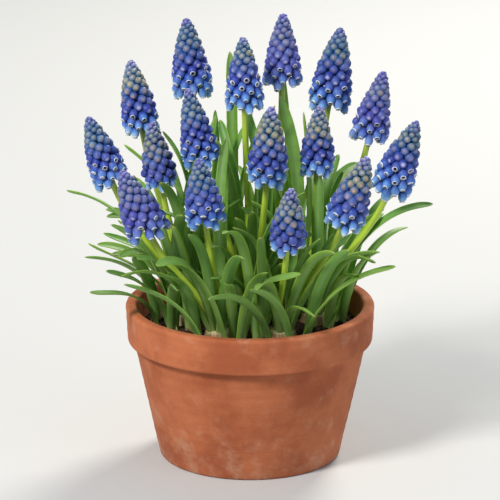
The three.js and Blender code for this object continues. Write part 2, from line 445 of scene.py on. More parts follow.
def between(tree: Tree, share: object, low: object, high: object) -> Socket:
    """The number that lies a share of the way from low to high, each of the three a value or a socket."""
    return add(tree, "ShaderNodeMix", {0: share, 2: low, 3: high}).outputs[0]


def step_between(tree: Tree, value: Socket, low: object, high: object, size: float = 1.0) -> Socket:
    """A smooth step of a value.

    Args:
        tree: the tree.
        value: what steps.
        low: where the step starts, a number or a socket.
        high: where it ends, which may be the lower of the two.
        size: what the step rises to.

    Returns:
        0 at low and before it, size at high and past it.
    """
    inputs = {"Value": value, "From Min": low, "From Max": high, "To Max": size}
    return add(tree, "ShaderNodeMapRange", inputs, interpolation_type="SMOOTHSTEP").outputs["Result"]


def blended(tree: Tree, share: object, under: object, over: object) -> Socket:
    """Lays one colour over another.

    Args:
        tree: the tree.
        share: how much of the upper one shows, a number or a socket.
        under: the lower colour, a hex colour or a socket.
        over: the upper colour, likewise.

    Returns:
        The mixed colour.
    """
    lower, upper = (linear(colour) if isinstance(colour, str) else colour for colour in (under, over))
    inputs = {"Factor": share, 6: lower, 7: upper}
    return add(tree, "ShaderNodeMix", inputs, data_type="RGBA").outputs[2]


def noise(
    tree: Tree, where: Socket, size: float = 1.0, detail: float = 2.0, roughness: float = 0.5
) -> Socket:
    """Cloudy noise.

    Args:
        tree: the tree.
        where: the place that it is read at.
        size: how wide its largest clouds are, in the units of the place.
        detail: how many finer layers it has.
        roughness: how strong each finer layer is against the last.

    Returns:
        The noise, from 0 to 1.
    """
    inputs = {"Vector": where, "Scale": 1 / size, "Detail": detail, "Roughness": roughness}
    return add(tree, "ShaderNodeTexNoise", inputs).outputs["Fac"]


def stretched(tree: Tree, where: Socket, scale: tuple[float, float, float]) -> Socket:
    """A place with each of its coordinates scaled, so that a pattern read there is drawn out."""
    return add(tree, "ShaderNodeMapping", {"Vector": where, "Scale": scale}).outputs["Vector"]


def streaks(tree: Tree, radius_mm: float, width_mm: float, length_mm: float, detail: float) -> Socket:
    """Streaks that run along a bulb or a stalk.

    They are read from its "round" attribute: the cosine and sine of the angle round it, and the length
    along it.

    Args:
        tree: the tree.
        radius_mm: its usual radius.
        width_mm: how wide a streak is.
        length_mm: how long a streak is.
        detail: how many finer layers they have.

    Returns:
        The streaks, from 0 to 1.
    """
    skin = add(tree, "ShaderNodeAttribute", attribute_name="round").outputs["Vector"]
    scale = (radius_mm / width_mm, radius_mm / width_mm, 1 / (length_mm * MM))
    return noise(tree, stretched(tree, skin, scale), detail=detail)


def surface_of(
    tree: Tree, inputs: dict, height: Socket | None = None, strength: float = 0.0, depth: float = 0.0
) -> Socket:
    """The shader of a skin, with its fine relief where it has one.

    Args:
        tree: the tree.
        inputs: the shader's own inputs, by name.
        height: the relief, from 0 to 1.
        strength: how much of the relief's slope shows.
        depth: how high the relief is.

    Returns:
        The shader.
    """
    if height is not None:
        bump = add(tree, "ShaderNodeBump", {"Height": height, "Strength": strength, "Distance": depth})
        inputs = {**inputs, "Normal": bump.outputs["Normal"]}
    return add(tree, "ShaderNodeBsdfPrincipled", inputs).outputs["BSDF"]


@dataclass(frozen=True)
class Finish:
    """What a piece is made of: a material, made once and then shared.

    Attributes:
        slot: the name of a material slot, which nothing in this script reads.
    """

    slot: str = ""

    def dress(self, tree: Tree) -> Socket:
        """Adds the shader's nodes.

        Args:
            tree: the material's empty tree.

        Returns:
            The shader.
        """
        raise NotImplementedError

    def material(self) -> bpy.types.Material:
        """The finish's material.

        Returns:
            The material, which is made the first time that it is asked for.
        """
        name = type(self).__name__
        made = bpy.data.materials.get(name)
        if made is None:
            made = bpy.data.materials.new(name)
            made.use_nodes = True
            made.node_tree.nodes.clear()
            surface = self.dress(made.node_tree)
            add(made.node_tree, "ShaderNodeOutputMaterial", {"Surface": surface})
        return made


@dataclass(frozen=True)
class Terracotta(Finish):
    """Unglazed earthenware: a dry, matt, warm orange clay that was thrown and fired at a low heat.

    Its skin is even in colour but for cloudy patches, fine grog specks and the pale lime that hard water
    leaves as it dries out through the wall, most of it low on the pot and along the rim.

    Attributes:
        clay: the clay's usual colour.
        clay_dark: its darker clouds, specks and turning lines.
        lime: the pale bloom of dried salts.
        cloud_mm: how wide a cloud is.
        lime_mm: how wide a patch of lime is.
        speck_mm: how wide a speck is. Real grog is finer than the picture can show, so it is drawn coarser.
        grit_mm: how wide a grain of the rough skin is, drawn coarser for the same reason.
        line_mm: how far apart the turning lines are.
        line_length_mm: how far a turning line runs before it fades.
        lime_below: height under which lime gathers.
        lime_above: heights between which it gathers again towards the rim.
    """

    slot: str = "terracotta"
    clay: str = "#b56a45"
    clay_dark: str = "#9a5233"
    lime: str = "#cfa98c"
    cloud_mm: float = 32.0
    lime_mm: float = 12.0
    speck_mm: float = 0.9
    grit_mm: float = 0.5
    line_mm: float = 1.4
    line_length_mm: float = 40.0
    lime_below: float = 45 * MM
    lime_above: tuple = (66 * MM, 90 * MM)

    def dress(self, tree: Tree) -> Socket:
        """Cloudy clay, then patches of lime, darker specks and turning lines, on a gritty surface.

        Args:
            tree: the material's empty tree.

        Returns:
            The shader.
        """
        place = place_on_object(tree)
        cloud, lime, speck, grit = (
            noise(tree, place, size * MM, detail=7.0, roughness=0.62)
            for size in (self.cloud_mm, self.lime_mm, self.speck_mm, self.grit_mm)
        )
        height = add(tree, "ShaderNodeSeparateXYZ", {0: place}).outputs["Z"]
        colour = blended(tree, step_between(tree, cloud, 0.35, 0.65), self.clay_dark, self.clay)
        low_down = step_between(tree, height, self.lime_below, 0.0, 0.16)
        near_rim = step_between(tree, height, *self.lime_above, 0.07)
        patchy = arithmetic(tree, "ADD", lime, arithmetic(tree, "ADD", low_down, near_rim))
        colour = blended(tree, step_between(tree, patchy, 0.56, 0.86, 0.42), colour, self.lime)
        colour = blended(tree, step_between(tree, speck, 0.60, 0.70, 0.45), colour, self.clay_dark)
        run = 1 / (self.line_length_mm * MM)
        turned = stretched(tree, place, (run, run, 1 / (self.line_mm * MM)))
        lines = noise(tree, turned, detail=3.0)
        colour = blended(tree, step_between(tree, lines, 0.35, 0.7, 0.14), colour, self.clay_dark)
        # Dry clay scatters light evenly, so it has next to no shine.
        inputs = {"Base Color": colour, "Roughness": 0.88, "Specular IOR Level": 0.3}
        return surface_of(tree, inputs, arithmetic(tree, "ADD", grit, lines), strength=0.4, depth=0.25 * MM)


@dataclass(frozen=True)
class Compost(Finish):
    """Damp peat compost: dark brown crumbs, some with paler fibres, matt but for a little moisture.

    Attributes:
        peat: its darkest brown.
        crumb: the lighter brown of its crumbs.
        fibre: the pale brown of its fibres.
        tone_mm: how wide a patch of one brown is.
        grit_mm: how wide a grain is.
    """

    slot: str = "compost"
    peat: str = "#2a1c13"
    crumb: str = "#4a3424"
    fibre: str = "#8a6a48"
    tone_mm: float = 3.0
    grit_mm: float = 1.1

    def dress(self, tree: Tree) -> Socket:
        """Two browns by patch, each crumb with a tone of its own, and a rough surface.

        The "crumb" attribute holds a number of the crumb's own and how much of the fibres' colour it shows.

        Args:
            tree: the material's empty tree.

        Returns:
            The shader.
        """
        place = place_on_object(tree)
        chance, pale, _ = carried(tree, "crumb")
        tone, grit = (
            noise(tree, place, size * MM, detail=8.0, roughness=0.7) for size in (self.tone_mm, self.grit_mm)
        )
        colour = blended(tree, step_between(tree, tone, 0.38, 0.66), self.peat, self.crumb)
        colour = blended(tree, step_between(tree, chance, 0.2, 1.0, 0.7), colour, self.crumb)
        colour = blended(tree, pale, colour, self.fibre)
        # Deep bumps break the surface into grains, with a faint glint from the damp.
        inputs = {"Base Color": colour, "Roughness": 0.9, "Specular IOR Level": 0.35}
        return surface_of(tree, inputs, grit, strength=1.0, depth=0.8 * MM)


@dataclass(frozen=True)
class PaperyTunic(Finish):
    """A bulb's dry outer skin: thin brown paper with fibres that run from the base to the neck.

    Attributes:
        pale: the paper's lighter streaks.
        brown: its darker ones.
        neck: the living tissue at the neck.
        radius_mm: the bulb's usual radius.
        fibre_mm: how wide a fibre is, drawn coarser than the real hair-thin ones, which wouldn't show.
        fibre_length_mm: how long it is.
    """

    slot: str = "bulb_tunic"
    pale: str = "#c9ae86"
    brown: str = "#7d5a39"
    neck: str = "#c8c98e"
    radius_mm: float = 12.0
    fibre_mm: float = 0.8
    fibre_length_mm: float = 14.0

    def dress(self, tree: Tree) -> Socket:
        """Streaks along the fibres, and the pale living tissue where the leaves leave the neck.

        The last number of the "rise" attribute is how living the tissue is.

        Args:
            tree: the material's empty tree.

        Returns:
            The shader.
        """
        _, _, neck = carried(tree, "rise")
        fibres = streaks(tree, self.radius_mm, self.fibre_mm, self.fibre_length_mm, detail=5.0)
        colour = blended(tree, step_between(tree, fibres, 0.35, 0.68), self.brown, self.pale)
        colour = blended(tree, neck, colour, self.neck)
        # Dry paper has a faint, wide shine that its raised fibres break up.
        inputs = {"Base Color": colour, "Roughness": 0.6}
        return surface_of(tree, inputs, fibres, strength=0.5, depth=0.3 * MM)


@dataclass(frozen=True)
class FleshyStalk(Finish):
    """A leafless flower stalk: smooth, juicy and yellow-green under a thin wax.

    It pales towards the bulb, and just under the raceme and inside it the green gives way to a dull mauve.

    Attributes:
        green: its lighter stripes.
        green_shade: its darker ones.
        foot: the pale green over the bulb.
        foot_length: how far the pale green reaches up.
        mauve: the tint under the raceme.
        violet: the colour of its end inside the raceme.
        radius_mm: its usual radius.
        stripe_mm: how wide a stripe is, drawn coarser than the real ones, which wouldn't show.
        stripe_length_mm: how long it is.
    """

    slot: str = "stalk"
    green: str = "#c6df4a"
    green_shade: str = "#9fbd3a"
    foot: str = "#b9bf77"
    foot_length: float = 14 * MM
    mauve: str = "#6a5f57"
    violet: str = "#4b4a8c"
    radius_mm: float = 1.9
    stripe_mm: float = 0.8
    stripe_length_mm: float = 14.0

    def dress(self, tree: Tree) -> Socket:
        """Green by faint lengthwise stripes, and the colours of the foot and of the end in the raceme.

        The "rise" attribute holds the length along it from the neck of its bulb, how far up it is, with 1
        at the raceme's foot and 2 at its end, and a number of the stalk's own.

        Args:
            tree: the material's empty tree.

        Returns:
            The shader.
        """
        foot, flower, chance = carried(tree, "rise")
        stripes = streaks(tree, self.radius_mm, self.stripe_mm, self.stripe_length_mm, detail=2.0)
        colour = blended(tree, step_between(tree, stripes, 0.3, 0.7), self.green_shade, self.green)
        colour = blended(tree, step_between(tree, chance, 0.0, 1.0, 0.4), colour, self.green_shade)
        colour = blended(tree, step_between(tree, foot, self.foot_length, 0.0, 0.8), colour, self.foot)
        colour = blended(tree, step_between(tree, flower, 0.8, 1.1, 0.4), colour, self.mauve)
        colour = blended(tree, step_between(tree, flower, 0.98, 1.12, 0.9), colour, self.violet)
        # Wax gives a soft shine, and light that enters the juicy flesh comes out greener a millimetre on.
        inputs = {
            "Base Color": colour,
            "Roughness": 0.4,
            "Subsurface Weight": 0.2,
            "Subsurface Radius": (0.6, 1.0, 0.2),
            "Subsurface Scale": 1.2 * MM,
        }
        return surface_of(tree, inputs, stripes, strength=0.12, depth=0.1 * MM)


@dataclass(frozen=True)
class StrapLeafBlade(Finish):
    """A living strap leaf: fleshy, with a thin gloss of wax and light that comes through it yellow-green.

    Fine veins run its whole length. The middle of its hollow side is paler and bluer, its blunt tip is pale,
    and its foot is almost white where it leaves the bulb. A pale band along its edges is painted highlight.

    Attributes:
        green: its usual green.
        deep: the darker green of its mottle and veins.
        outer: the green of its back.
        fresh: the yellower green that some leaves lean to.
        glaucous: the pale blue-green band down its hollow side.
        margin: the tint of the youngest leaves, and a painted highlight along its edges.
        foot: its colour over the bulb.
        tip: its colour at the very tip.
        through: the light that comes through it.
        light_share: how much of the light comes through.
        mottle_mm: how wide a patch of the mottle is.
        half_width_mm: its usual half width.
        vein_mm: how far apart the veins are, drawn coarser than the real ones, which wouldn't show.
    """

    slot: str = "leaf"
    green: str = "#82b84f"
    deep: str = "#629744"
    outer: str = "#89b759"
    fresh: str = "#97b93a"
    glaucous: str = "#a1c38a"
    margin: str = "#b4d16a"
    foot: str = "#bfc985"
    tip: str = "#c8c070"
    through: str = "#a4d23e"
    light_share: float = 0.34
    mottle_mm: float = 7.0
    half_width_mm: float = 3.3
    vein_mm: float = 0.55

    def dress(self, tree: Tree) -> Socket:
        """Green by mottle and by leaf, then the middle band, the veins, the margins, the foot and the tip.

        The "blade" attribute holds the place across it, from -1 to 1, the share of its length and the
        length in metres. The "nature" attribute holds 1 on its hollow side and 0 on its back, a number of
        the leaf's own and how young it is.

        Args:
            tree: the material's empty tree.

        Returns:
            The shader.
        """
        across, share, along = carried(tree, "blade")
        inner, chance, youth = carried(tree, "nature")
        aside = arithmetic(tree, "ABSOLUTE", across)
        mottle = noise(tree, place_on_object(tree), self.mottle_mm * MM, detail=3.0)
        colour = blended(tree, step_between(tree, mottle, 0.3, 0.7), self.deep, self.green)
        colour = blended(tree, step_between(tree, inner, 0.6, 0.4, 0.6), colour, self.outer)
        colour = blended(tree, step_between(tree, chance, 0.35, 1.0, 0.5), colour, self.fresh)
        colour = blended(tree, youth, colour, self.margin)
        band = step_between(tree, aside, 0.6, 0.05, 0.75)
        band = arithmetic(tree, "MULTIPLY", band, between(tree, chance, 0.35, 1.0))
        colour = blended(tree, band, colour, self.glaucous)
        # The veins are read across the blade, slowly along it, and at another place on each leaf.
        on_blade = add(tree, "ShaderNodeCombineXYZ", {0: across, 1: along, 2: chance}).outputs[0]
        on_blade = stretched(tree, on_blade, (self.half_width_mm / self.vein_mm, 14.0, 9.0))
        veins = noise(tree, on_blade, detail=2.0)
        colour = blended(tree, step_between(tree, veins, 0.62, 0.35, 0.4), colour, self.deep)
        # Painted highlight: a pale band along both edges of the blade.
        colour = blended(tree, step_between(tree, aside, 0.9, 0.99, 0.75), colour, self.margin)
        colour = blended(tree, step_between(tree, share, 0.16, 0.0, 0.85), colour, self.foot)
        colour = blended(tree, step_between(tree, share, 0.982, 0.999, 0.7), colour, self.tip)
        # Wax gives long soft highlights, and leaves with the light behind them glow.
        inputs = {"Base Color": colour, "Roughness": 0.42, "Specular IOR Level": 0.45}
        shader = surface_of(tree, inputs, veins, strength=0.4, depth=0.15 * MM)
        glow = blended(tree, 0.5, colour, self.through)
        light = add(tree, "ShaderNodeBsdfTranslucent", {"Color": glow}).outputs["BSDF"]
        return add(tree, "ShaderNodeMixShader", {0: self.light_share, 1: shader, 2: light}).outputs[0]


@dataclass(frozen=True)
class FloretSkin(Finish):
    """The thin waxy skin of a grape hyacinth's florets, matt under a pale bloom.

    Its colour follows a floret's age: violet at the raceme's tip, olive noses on the young buds, deep
    violet-blue on the closed ones, and clear blue that pales to sky blue at the mouth of the open bells.
    Their teeth are white. Their throats are painted dark as shade, and each floret's base is painted darker
    where it sits between its neighbours.

    Attributes:
        teeth: an open bell's teeth.
        closed_teeth: the teeth of one that is about to open.
        throat: a dark blue painted inside a bell as shade.
        pedicel: a floret's short stalk.
        violet: what the florets of some racemes lean to.
        depth: a dark blue painted on a floret's base as shade, where it sits deep between its neighbours.
        bloom: the pale wax.
        bud_tip: the warm dot on a young bud's nose.
        lips: the pale dot on the nose of a bud that is about to open.
        bloom_mm: how wide a patch of the wax is. The real wax is a fine powder, drawn coarser so that it
            shows.
        body_stops: the body's colour by age.
        nose_stops: the nose's colour by age.
        young_nose: where on a young bud the body's colour starts to give way to the nose's, and where it has,
            as shares of the length.
        closed_nose: the same two of an older bud.
        open_nose: where it starts to on an open bell.
    """

    slot: str = "floret"
    teeth: str = "#eef3fb"
    closed_teeth: str = "#a997a8"
    throat: str = "#15193f"
    pedicel: str = "#3c4a86"
    violet: str = "#4c389c"
    depth: str = "#0e1a72"
    bloom: str = "#9eb6e0"
    bud_tip: str = "#cfa79e"
    lips: str = "#c4c3e6"
    bloom_mm: float = 0.7
    body_stops: tuple = (
        (0.0, "#4a4a98"), (0.14, "#335a80"), (0.32, "#265b8c"), (0.48, "#234692"), (0.64, "#213390"),
        (0.8, "#20409c"), (0.9, "#2657b0"), (1.0, "#4183cc"),
    )
    nose_stops: tuple = (
        (0.0, "#7b78b6"), (0.12, "#6a7b80"), (0.28, "#82845c"), (0.42, "#7b767c"), (0.56, "#50529a"),
        (0.7, "#2c429e"), (0.8, "#4278cc"), (0.9, "#78b2ea"), (1.0, "#bbdff7"),
    )
    young_nose: tuple = (0.62, 0.88)
    closed_nose: tuple = (0.79, 0.99)
    open_nose: float = 0.42

    def base_and_nose(
        self, tree: Tree, age: Socket, reach: Socket, green: Socket, open_now: Socket
    ) -> Socket:
        """The colour of a floret from its body to its nose.

        Args:
            tree: the material's tree.
            age: the floret's age.
            reach: the share of its length from its base.
            green: how olive the noses of its raceme's buds are.
            open_now: 1 on an open bell and 0 on a bud.

        Returns:
            The colour.
        """
        body, nose = (
            add(tree, "ShaderNodeValToRGB", {"Fac": age}, stops=stops).outputs["Color"]
            for stops in (self.body_stops, self.nose_stops)
        )
        nose = blended(tree, green, blended(tree, 0.6, nose, body), nose)
        young = arithmetic(tree, "MULTIPLY", step_between(tree, age, 0.50, 0.32), green)
        starts, ends = (
            between(tree, young, closed, early) for closed, early in zip(self.closed_nose, self.young_nose)
        )
        starts = between(tree, open_now, starts, self.open_nose)
        return blended(tree, step_between(tree, reach, starts, ends), body, nose)

    def dress(self, tree: Tree) -> Socket:
        """The body's and nose's colour by age, the dots and the bloom, then pedicel, teeth and throat.

        The "bell" attribute holds a floret's age, the share of its length from its base, and the part: -1
        on its pedicel, 0 on its body, 1 on its teeth and 2 in its throat. The "sort" attribute holds how
        light its bloom is, how violet it is and how olive its nose is.

        Args:
            tree: the material's empty tree.

        Returns:
            The shader.
        """
        age, reach, part = carried(tree, "bell")
        chance, purple, green = carried(tree, "sort")
        open_now = step_between(tree, age, OPEN_AGE - 0.02, OPEN_AGE + 0.04)
        colour = self.base_and_nose(tree, age, reach, green, open_now)
        dot = step_between(tree, reach, 0.95, 0.985, 0.6)
        dot = arithmetic(tree, "MULTIPLY", dot, step_between(tree, age, 0.66, 0.5))
        dot = arithmetic(tree, "MULTIPLY", dot, green)
        colour = blended(tree, dot, colour, self.bud_tip)
        colour = blended(tree, purple, colour, self.violet)
        about_to_open = step_between(tree, age, 0.54, 0.62)
        lips = arithmetic(tree, "MULTIPLY", about_to_open, step_between(tree, reach, 0.93, 0.98, 0.75))
        colour = blended(tree, lips, colour, self.lips)
        # Painted shade: each floret darkens towards its base, where it sits deep between its neighbours.
        colour = blended(tree, step_between(tree, reach, 0.64, 0.15, 0.75), colour, self.depth)
        wax = noise(tree, place_on_object(tree), self.bloom_mm * MM, detail=3.0)
        colour = blended(tree, step_between(tree, wax, 0.4, 0.75, 0.10), colour, self.bloom)
        colour = blended(tree, step_between(tree, chance, 0.0, 1.0, 0.15), colour, self.bloom)
        tooth = blended(tree, open_now, self.closed_teeth, self.teeth)
        colour = blended(tree, step_between(tree, part, -0.3, -0.7), colour, self.pedicel)
        colour = blended(tree, step_between(tree, part, 0.02, 0.2), colour, tooth)
        # Painted shade: the inside of an open bell's throat is coloured near-black blue.
        colour = blended(tree, step_between(tree, part, 1.3, 1.5), colour, self.throat)
        # The bloom dulls the shine and lights up the edges, and the thin flesh lets blue light spread.
        inputs = {
            "Base Color": colour,
            "Roughness": 0.5,
            "Specular IOR Level": 0.35,
            "Subsurface Weight": 0.25,
            "Subsurface Radius": (0.3, 0.4, 1.0),
            "Subsurface Scale": 0.8 * MM,
            "Sheen Weight": 0.1,
            "Sheen Roughness": 0.4,
            "Sheen Tint": linear(self.bloom),
        }
        return surface_of(tree, inputs)


def rounded_outline(
    corners: tuple[tuple[float, float, float], ...], arc: int = 6, spacing: float = 2 * MM
) -> Array:
    """A closed outline with its corners rounded.

    Each corner is bent towards its own point between a and b, which lie on its two sides at the corner's
    cut, or a third of a side that is shorter. The straight stretches between them are divided evenly.

    Args:
        corners: each corner's radius, height and cut, in millimetres.
        arc: points along each curve.
        spacing: longest step along a straight stretch.

    Returns:
        (m, 2) radii and heights in metres.
    """
    at = np.array(corners)[:, :2] * MM
    cuts = np.array(corners)[:, 2] * MM
    to_next = np.roll(at, -1, 0) - at
    length = np.linalg.norm(to_next, axis=1)
    leave = np.minimum(cuts, length / 3)
    arrive = np.minimum(cuts, np.roll(length, 1) / 3)
    a = at - unit(np.roll(to_next, 1, 0)) * arrive[:, None]
    b = at + unit(to_next) * leave[:, None]
    t = np.linspace(0, 1, arc)[:, None]
    stretches = []
    for start, corner, end, goal in zip(a, at, b, np.roll(a, -1, 0)):
        steps = math.ceil(np.linalg.norm(goal - end) / spacing)
        share = np.linspace(0, 1, steps + 1)[1:-1, None]
        stretches += [bent(start, corner, end, t), end * (1 - share) + goal * share]
    return np.concatenate(stretches)


@dataclass
class ClayPan:
    """The clay bulb pan, thrown on a wheel: a foot, a wall that flares, a rolled rim band and a drain hole.

    Attributes:
        outline: radius, height and worn rounding of each corner of the wall's section, in millimetres, up the
            outside, over the rim, down the inside and out through the drain hole.
        sides: points round the pot.
        ring_depth: depth of the rings that the thrower's fingers left.
        ring_spacing: distance between them.
        ring_lean: how far they run off level round the pot, in radians of their wave.
        wobble: how far the wall strays from round.
        wobble_width: width of the largest swellings of the wall.
        wobble_turn: radius of the circle that the swellings are read on.
        true_foot: heights between which rings and wobble fade in over the foot.
        true_hole: radii between which they fade in round the drain hole.
        finish: what it is made of.
    """

    outline: tuple = (
        (7, 0, 1.0), (51, 0, 1.6), (65.6, 67.2, 1.0), (69.0, 67.2, 1.8), (70, 88, 2.4), (63.6, 88, 2.4),
        (46, 8, 4.0), (7, 8, 1.0),
    )
    sides: int = 144
    ring_depth: float = 0.09 * MM
    ring_spacing: float = 6.5 * MM
    ring_lean: float = 0.8
    wobble: float = 0.22 * MM
    wobble_width: float = 38 * MM
    wobble_turn: float = 30 * MM
    true_foot: tuple = (2 * MM, 10 * MM)
    true_hole: tuple = (20 * MM, 40 * MM)
    finish: Finish = Terracotta()

    def build(self) -> bpy.types.Object:
        """Turns the outline about Z.

        The radius is the outline's, plus the finger rings, depth · sin(2π · height / spacing + slow turn),
        and a slow wobble, a few waves round the pot that differ with height. Both fade out at the foot and
        the hole.

        Returns:
            The pan.
        """
        profile = rounded_outline(self.outline)
        angle = angles_round(self.sides)
        radius, height = profile[:, :1], profile[:, 1:]
        places = stacked(self.wobble_turn * np.cos(angle), self.wobble_turn * np.sin(angle), height)
        phase = 2 * math.pi * height / self.ring_spacing + self.ring_lean * np.sin(angle)
        held = eased(*self.true_foot, height) * eased(*self.true_hole, radius)
        stray = self.ring_depth * np.sin(phase) + self.wobble * RELIEF.at(places, self.wobble_width, 2)
        radius = radius + held * stray
        rings = stacked(radius * np.cos(angle), radius * np.sin(angle), height)
        return Shell.of_loop(rings).piece("clay_pan", self.finish, ("pot",))


@dataclass
class Peat:
    """The compost: a crumbly surface inside the pan, with loose crumbs and fibres on it.

    Attributes:
        wall: radius and height of the compost's edge at the floor and at the top.
        heap: how much higher it is in the middle.
        lump: width and height of its largest lumps.
        lump_level: the level in the relief that the lumps are read at.
        sunken: width and depth of the sunken edge by the wall.
        sides: points round it.
        rings: rings from its edge to its middle.
        crumbs: how many loose crumbs.
        clear: how far crumbs stay from a bulb's middle.
        crumb_size: the smallest and the largest crumb.
        fibres: the share of them that are long fibres.
        crumb_form: a crumb's half length and its thickness, as shares of its size.
        fibre_form: the same two of a fibre.
        strewn: the share of the surface's area, from its middle out, that they lie on.
        grades: shape and scale of the gamma distribution that their sizes are drawn from.
        raised: how far the middle of one lies over the surface, as a share of its size.
        flat: how steep a fibre may lie, as a share of how steep a crumb may.
        lumpy: the least and the most that a point stands out, as shares of the thickness.
        fibre_paleness: how much of the fibres' colour a fibre shows.
        finish: what it is made of.
    """

    wall: tuple = ((45.7 * MM, 8.3 * MM), (60.6 * MM, 76 * MM))
    heap: float = 1.5 * MM
    lump: tuple = (9 * MM, 0.9 * MM)
    lump_level: float = 3 * MM
    sunken: tuple = (6 * MM, 1.2 * MM)
    sides: int = 240
    rings: int = 64
    crumbs: int = 1600
    clear: float = 10 * MM
    crumb_size: tuple = (0.45 * MM, 2.8 * MM)
    fibres: float = 0.1
    crumb_form: tuple = (0.9, 0.75)
    fibre_form: tuple = (2.6, 0.3)
    strewn: float = 0.96
    grades: tuple = (3.0, 0.33 * MM)
    raised: float = 0.3
    flat: float = 0.25
    lumpy: tuple = (0.6, 1.15)
    fibre_paleness: float = 0.8
    finish: Finish = Compost()

    def height(self, x: Array, y: Array) -> Array:
        """The height of the surface: a low dome, less a sunken edge by the wall, plus lumps.

        Args:
            x: places to the right.
            y: places to the back.

        Returns:
            The heights there.
        """
        radius = np.hypot(x, y)
        wide, top = self.wall[1]
        dome = self.heap * (1 - (radius / wide) ** 2)
        lumps = RELIEF.at(stacked(x, y, self.lump_level), self.lump[0], 4)
        edge = eased(wide - self.sunken[0], wide, radius)
        return top + dome + self.lump[1] * lumps - self.sunken[1] * edge

    def surface(self) -> Shell:
        """Skins the compost from the floor's middle out, up the wall and in over the top.

        Returns:
            The shell.
        """
        angle = angles_round(self.sides)
        (low, floor), (wide, _) = self.wall
        radius = wide * np.linspace(1, 0, self.rings, endpoint=False)[:, None]
        x, y = radius * np.cos(angle), radius * np.sin(angle)
        top = np.stack([x, y, self.height(x, y)], -1)
        base = stacked(low * np.cos(angle), low * np.sin(angle), floor)
        rings = np.concatenate([base[None], top])[None]
        middle = np.zeros(1)
        start, end = stacked(middle, middle, floor), stacked(middle, middle, self.height(middle, middle))
        return Shell.of_rings(rings, start, end, crumb=np.zeros(3))

    def loose(self, rng: np.random.Generator, bulbs: Array) -> Shell:
        """Strews crumbs and fibres.

        Each is two rings of six points, closed by a point at either end, and each point is moved in or out at
        random. Those that would lie on a bulb are left out.

        Args:
            rng: the source of chance.
            bulbs: (n, 3) the middles of the bulbs' necks.

        Returns:
            The shell of all of them.
        """
        n = self.crumbs
        angle = rng.uniform(0, 2 * math.pi, n)
        spread = np.sqrt(rng.uniform(0, self.strewn, n)) * self.wall[1][0]
        x, y = spread * np.cos(angle), spread * np.sin(angle)
        apart = np.linalg.norm(np.stack([x, y], -1)[:, None] - bulbs[:, :2], axis=-1).min(1)
        kept = apart > self.clear
        x, y, n = x[kept], y[kept], int(kept.sum())
        fibre = rng.random(n) < self.fibres
        size = rng.gamma(*self.grades, n).clip(*self.crumb_size)
        centre = np.stack([x, y, self.height(x, y) + self.raised * size], -1)
        # A fibre's direction is flattened, so that it lies on the surface.
        flatter = np.where(fibre, self.flat, 1)[:, None] ** UP
        along = unit(rng.normal(size=(n, 3)) * flatter)
        across = unit(np.cross(along, rng.normal(size=(n, 3))))
        half, thick = (
            np.where(fibre, of_fibre, of_crumb) * size
            for of_fibre, of_crumb in zip(self.fibre_form, self.crumb_form)
        )
        spokes = round_about(along[:, None, None], across[:, None, None], angles_round(6)[None, None])
        lumpy = rng.uniform(*self.lumpy, (n, 2, 6, 1)) * thick[:, None, None, None]
        shift = (np.array([-0.5, 0.5])[:, None, None] * half[:, None, None, None]) * along[:, None, None]
        rings = centre[:, None, None] + shift + spokes * lumpy
        value = stacked(rng.random(n), np.where(fibre, self.fibre_paleness, 0.0), 0.0)[:, None, None]
        reach = along * half[:, None]
        return Shell.of_rings(rings, centre - reach, centre + reach, crumb=value)

    def build(self, rng: np.random.Generator, bulbs: Array) -> bpy.types.Object:
        """Makes the surface and its crumbs one piece."""
        shell = Shell.joined([self.surface(), self.loose(rng, bulbs)])
        return shell.piece("peat", self.finish, ("soil",))


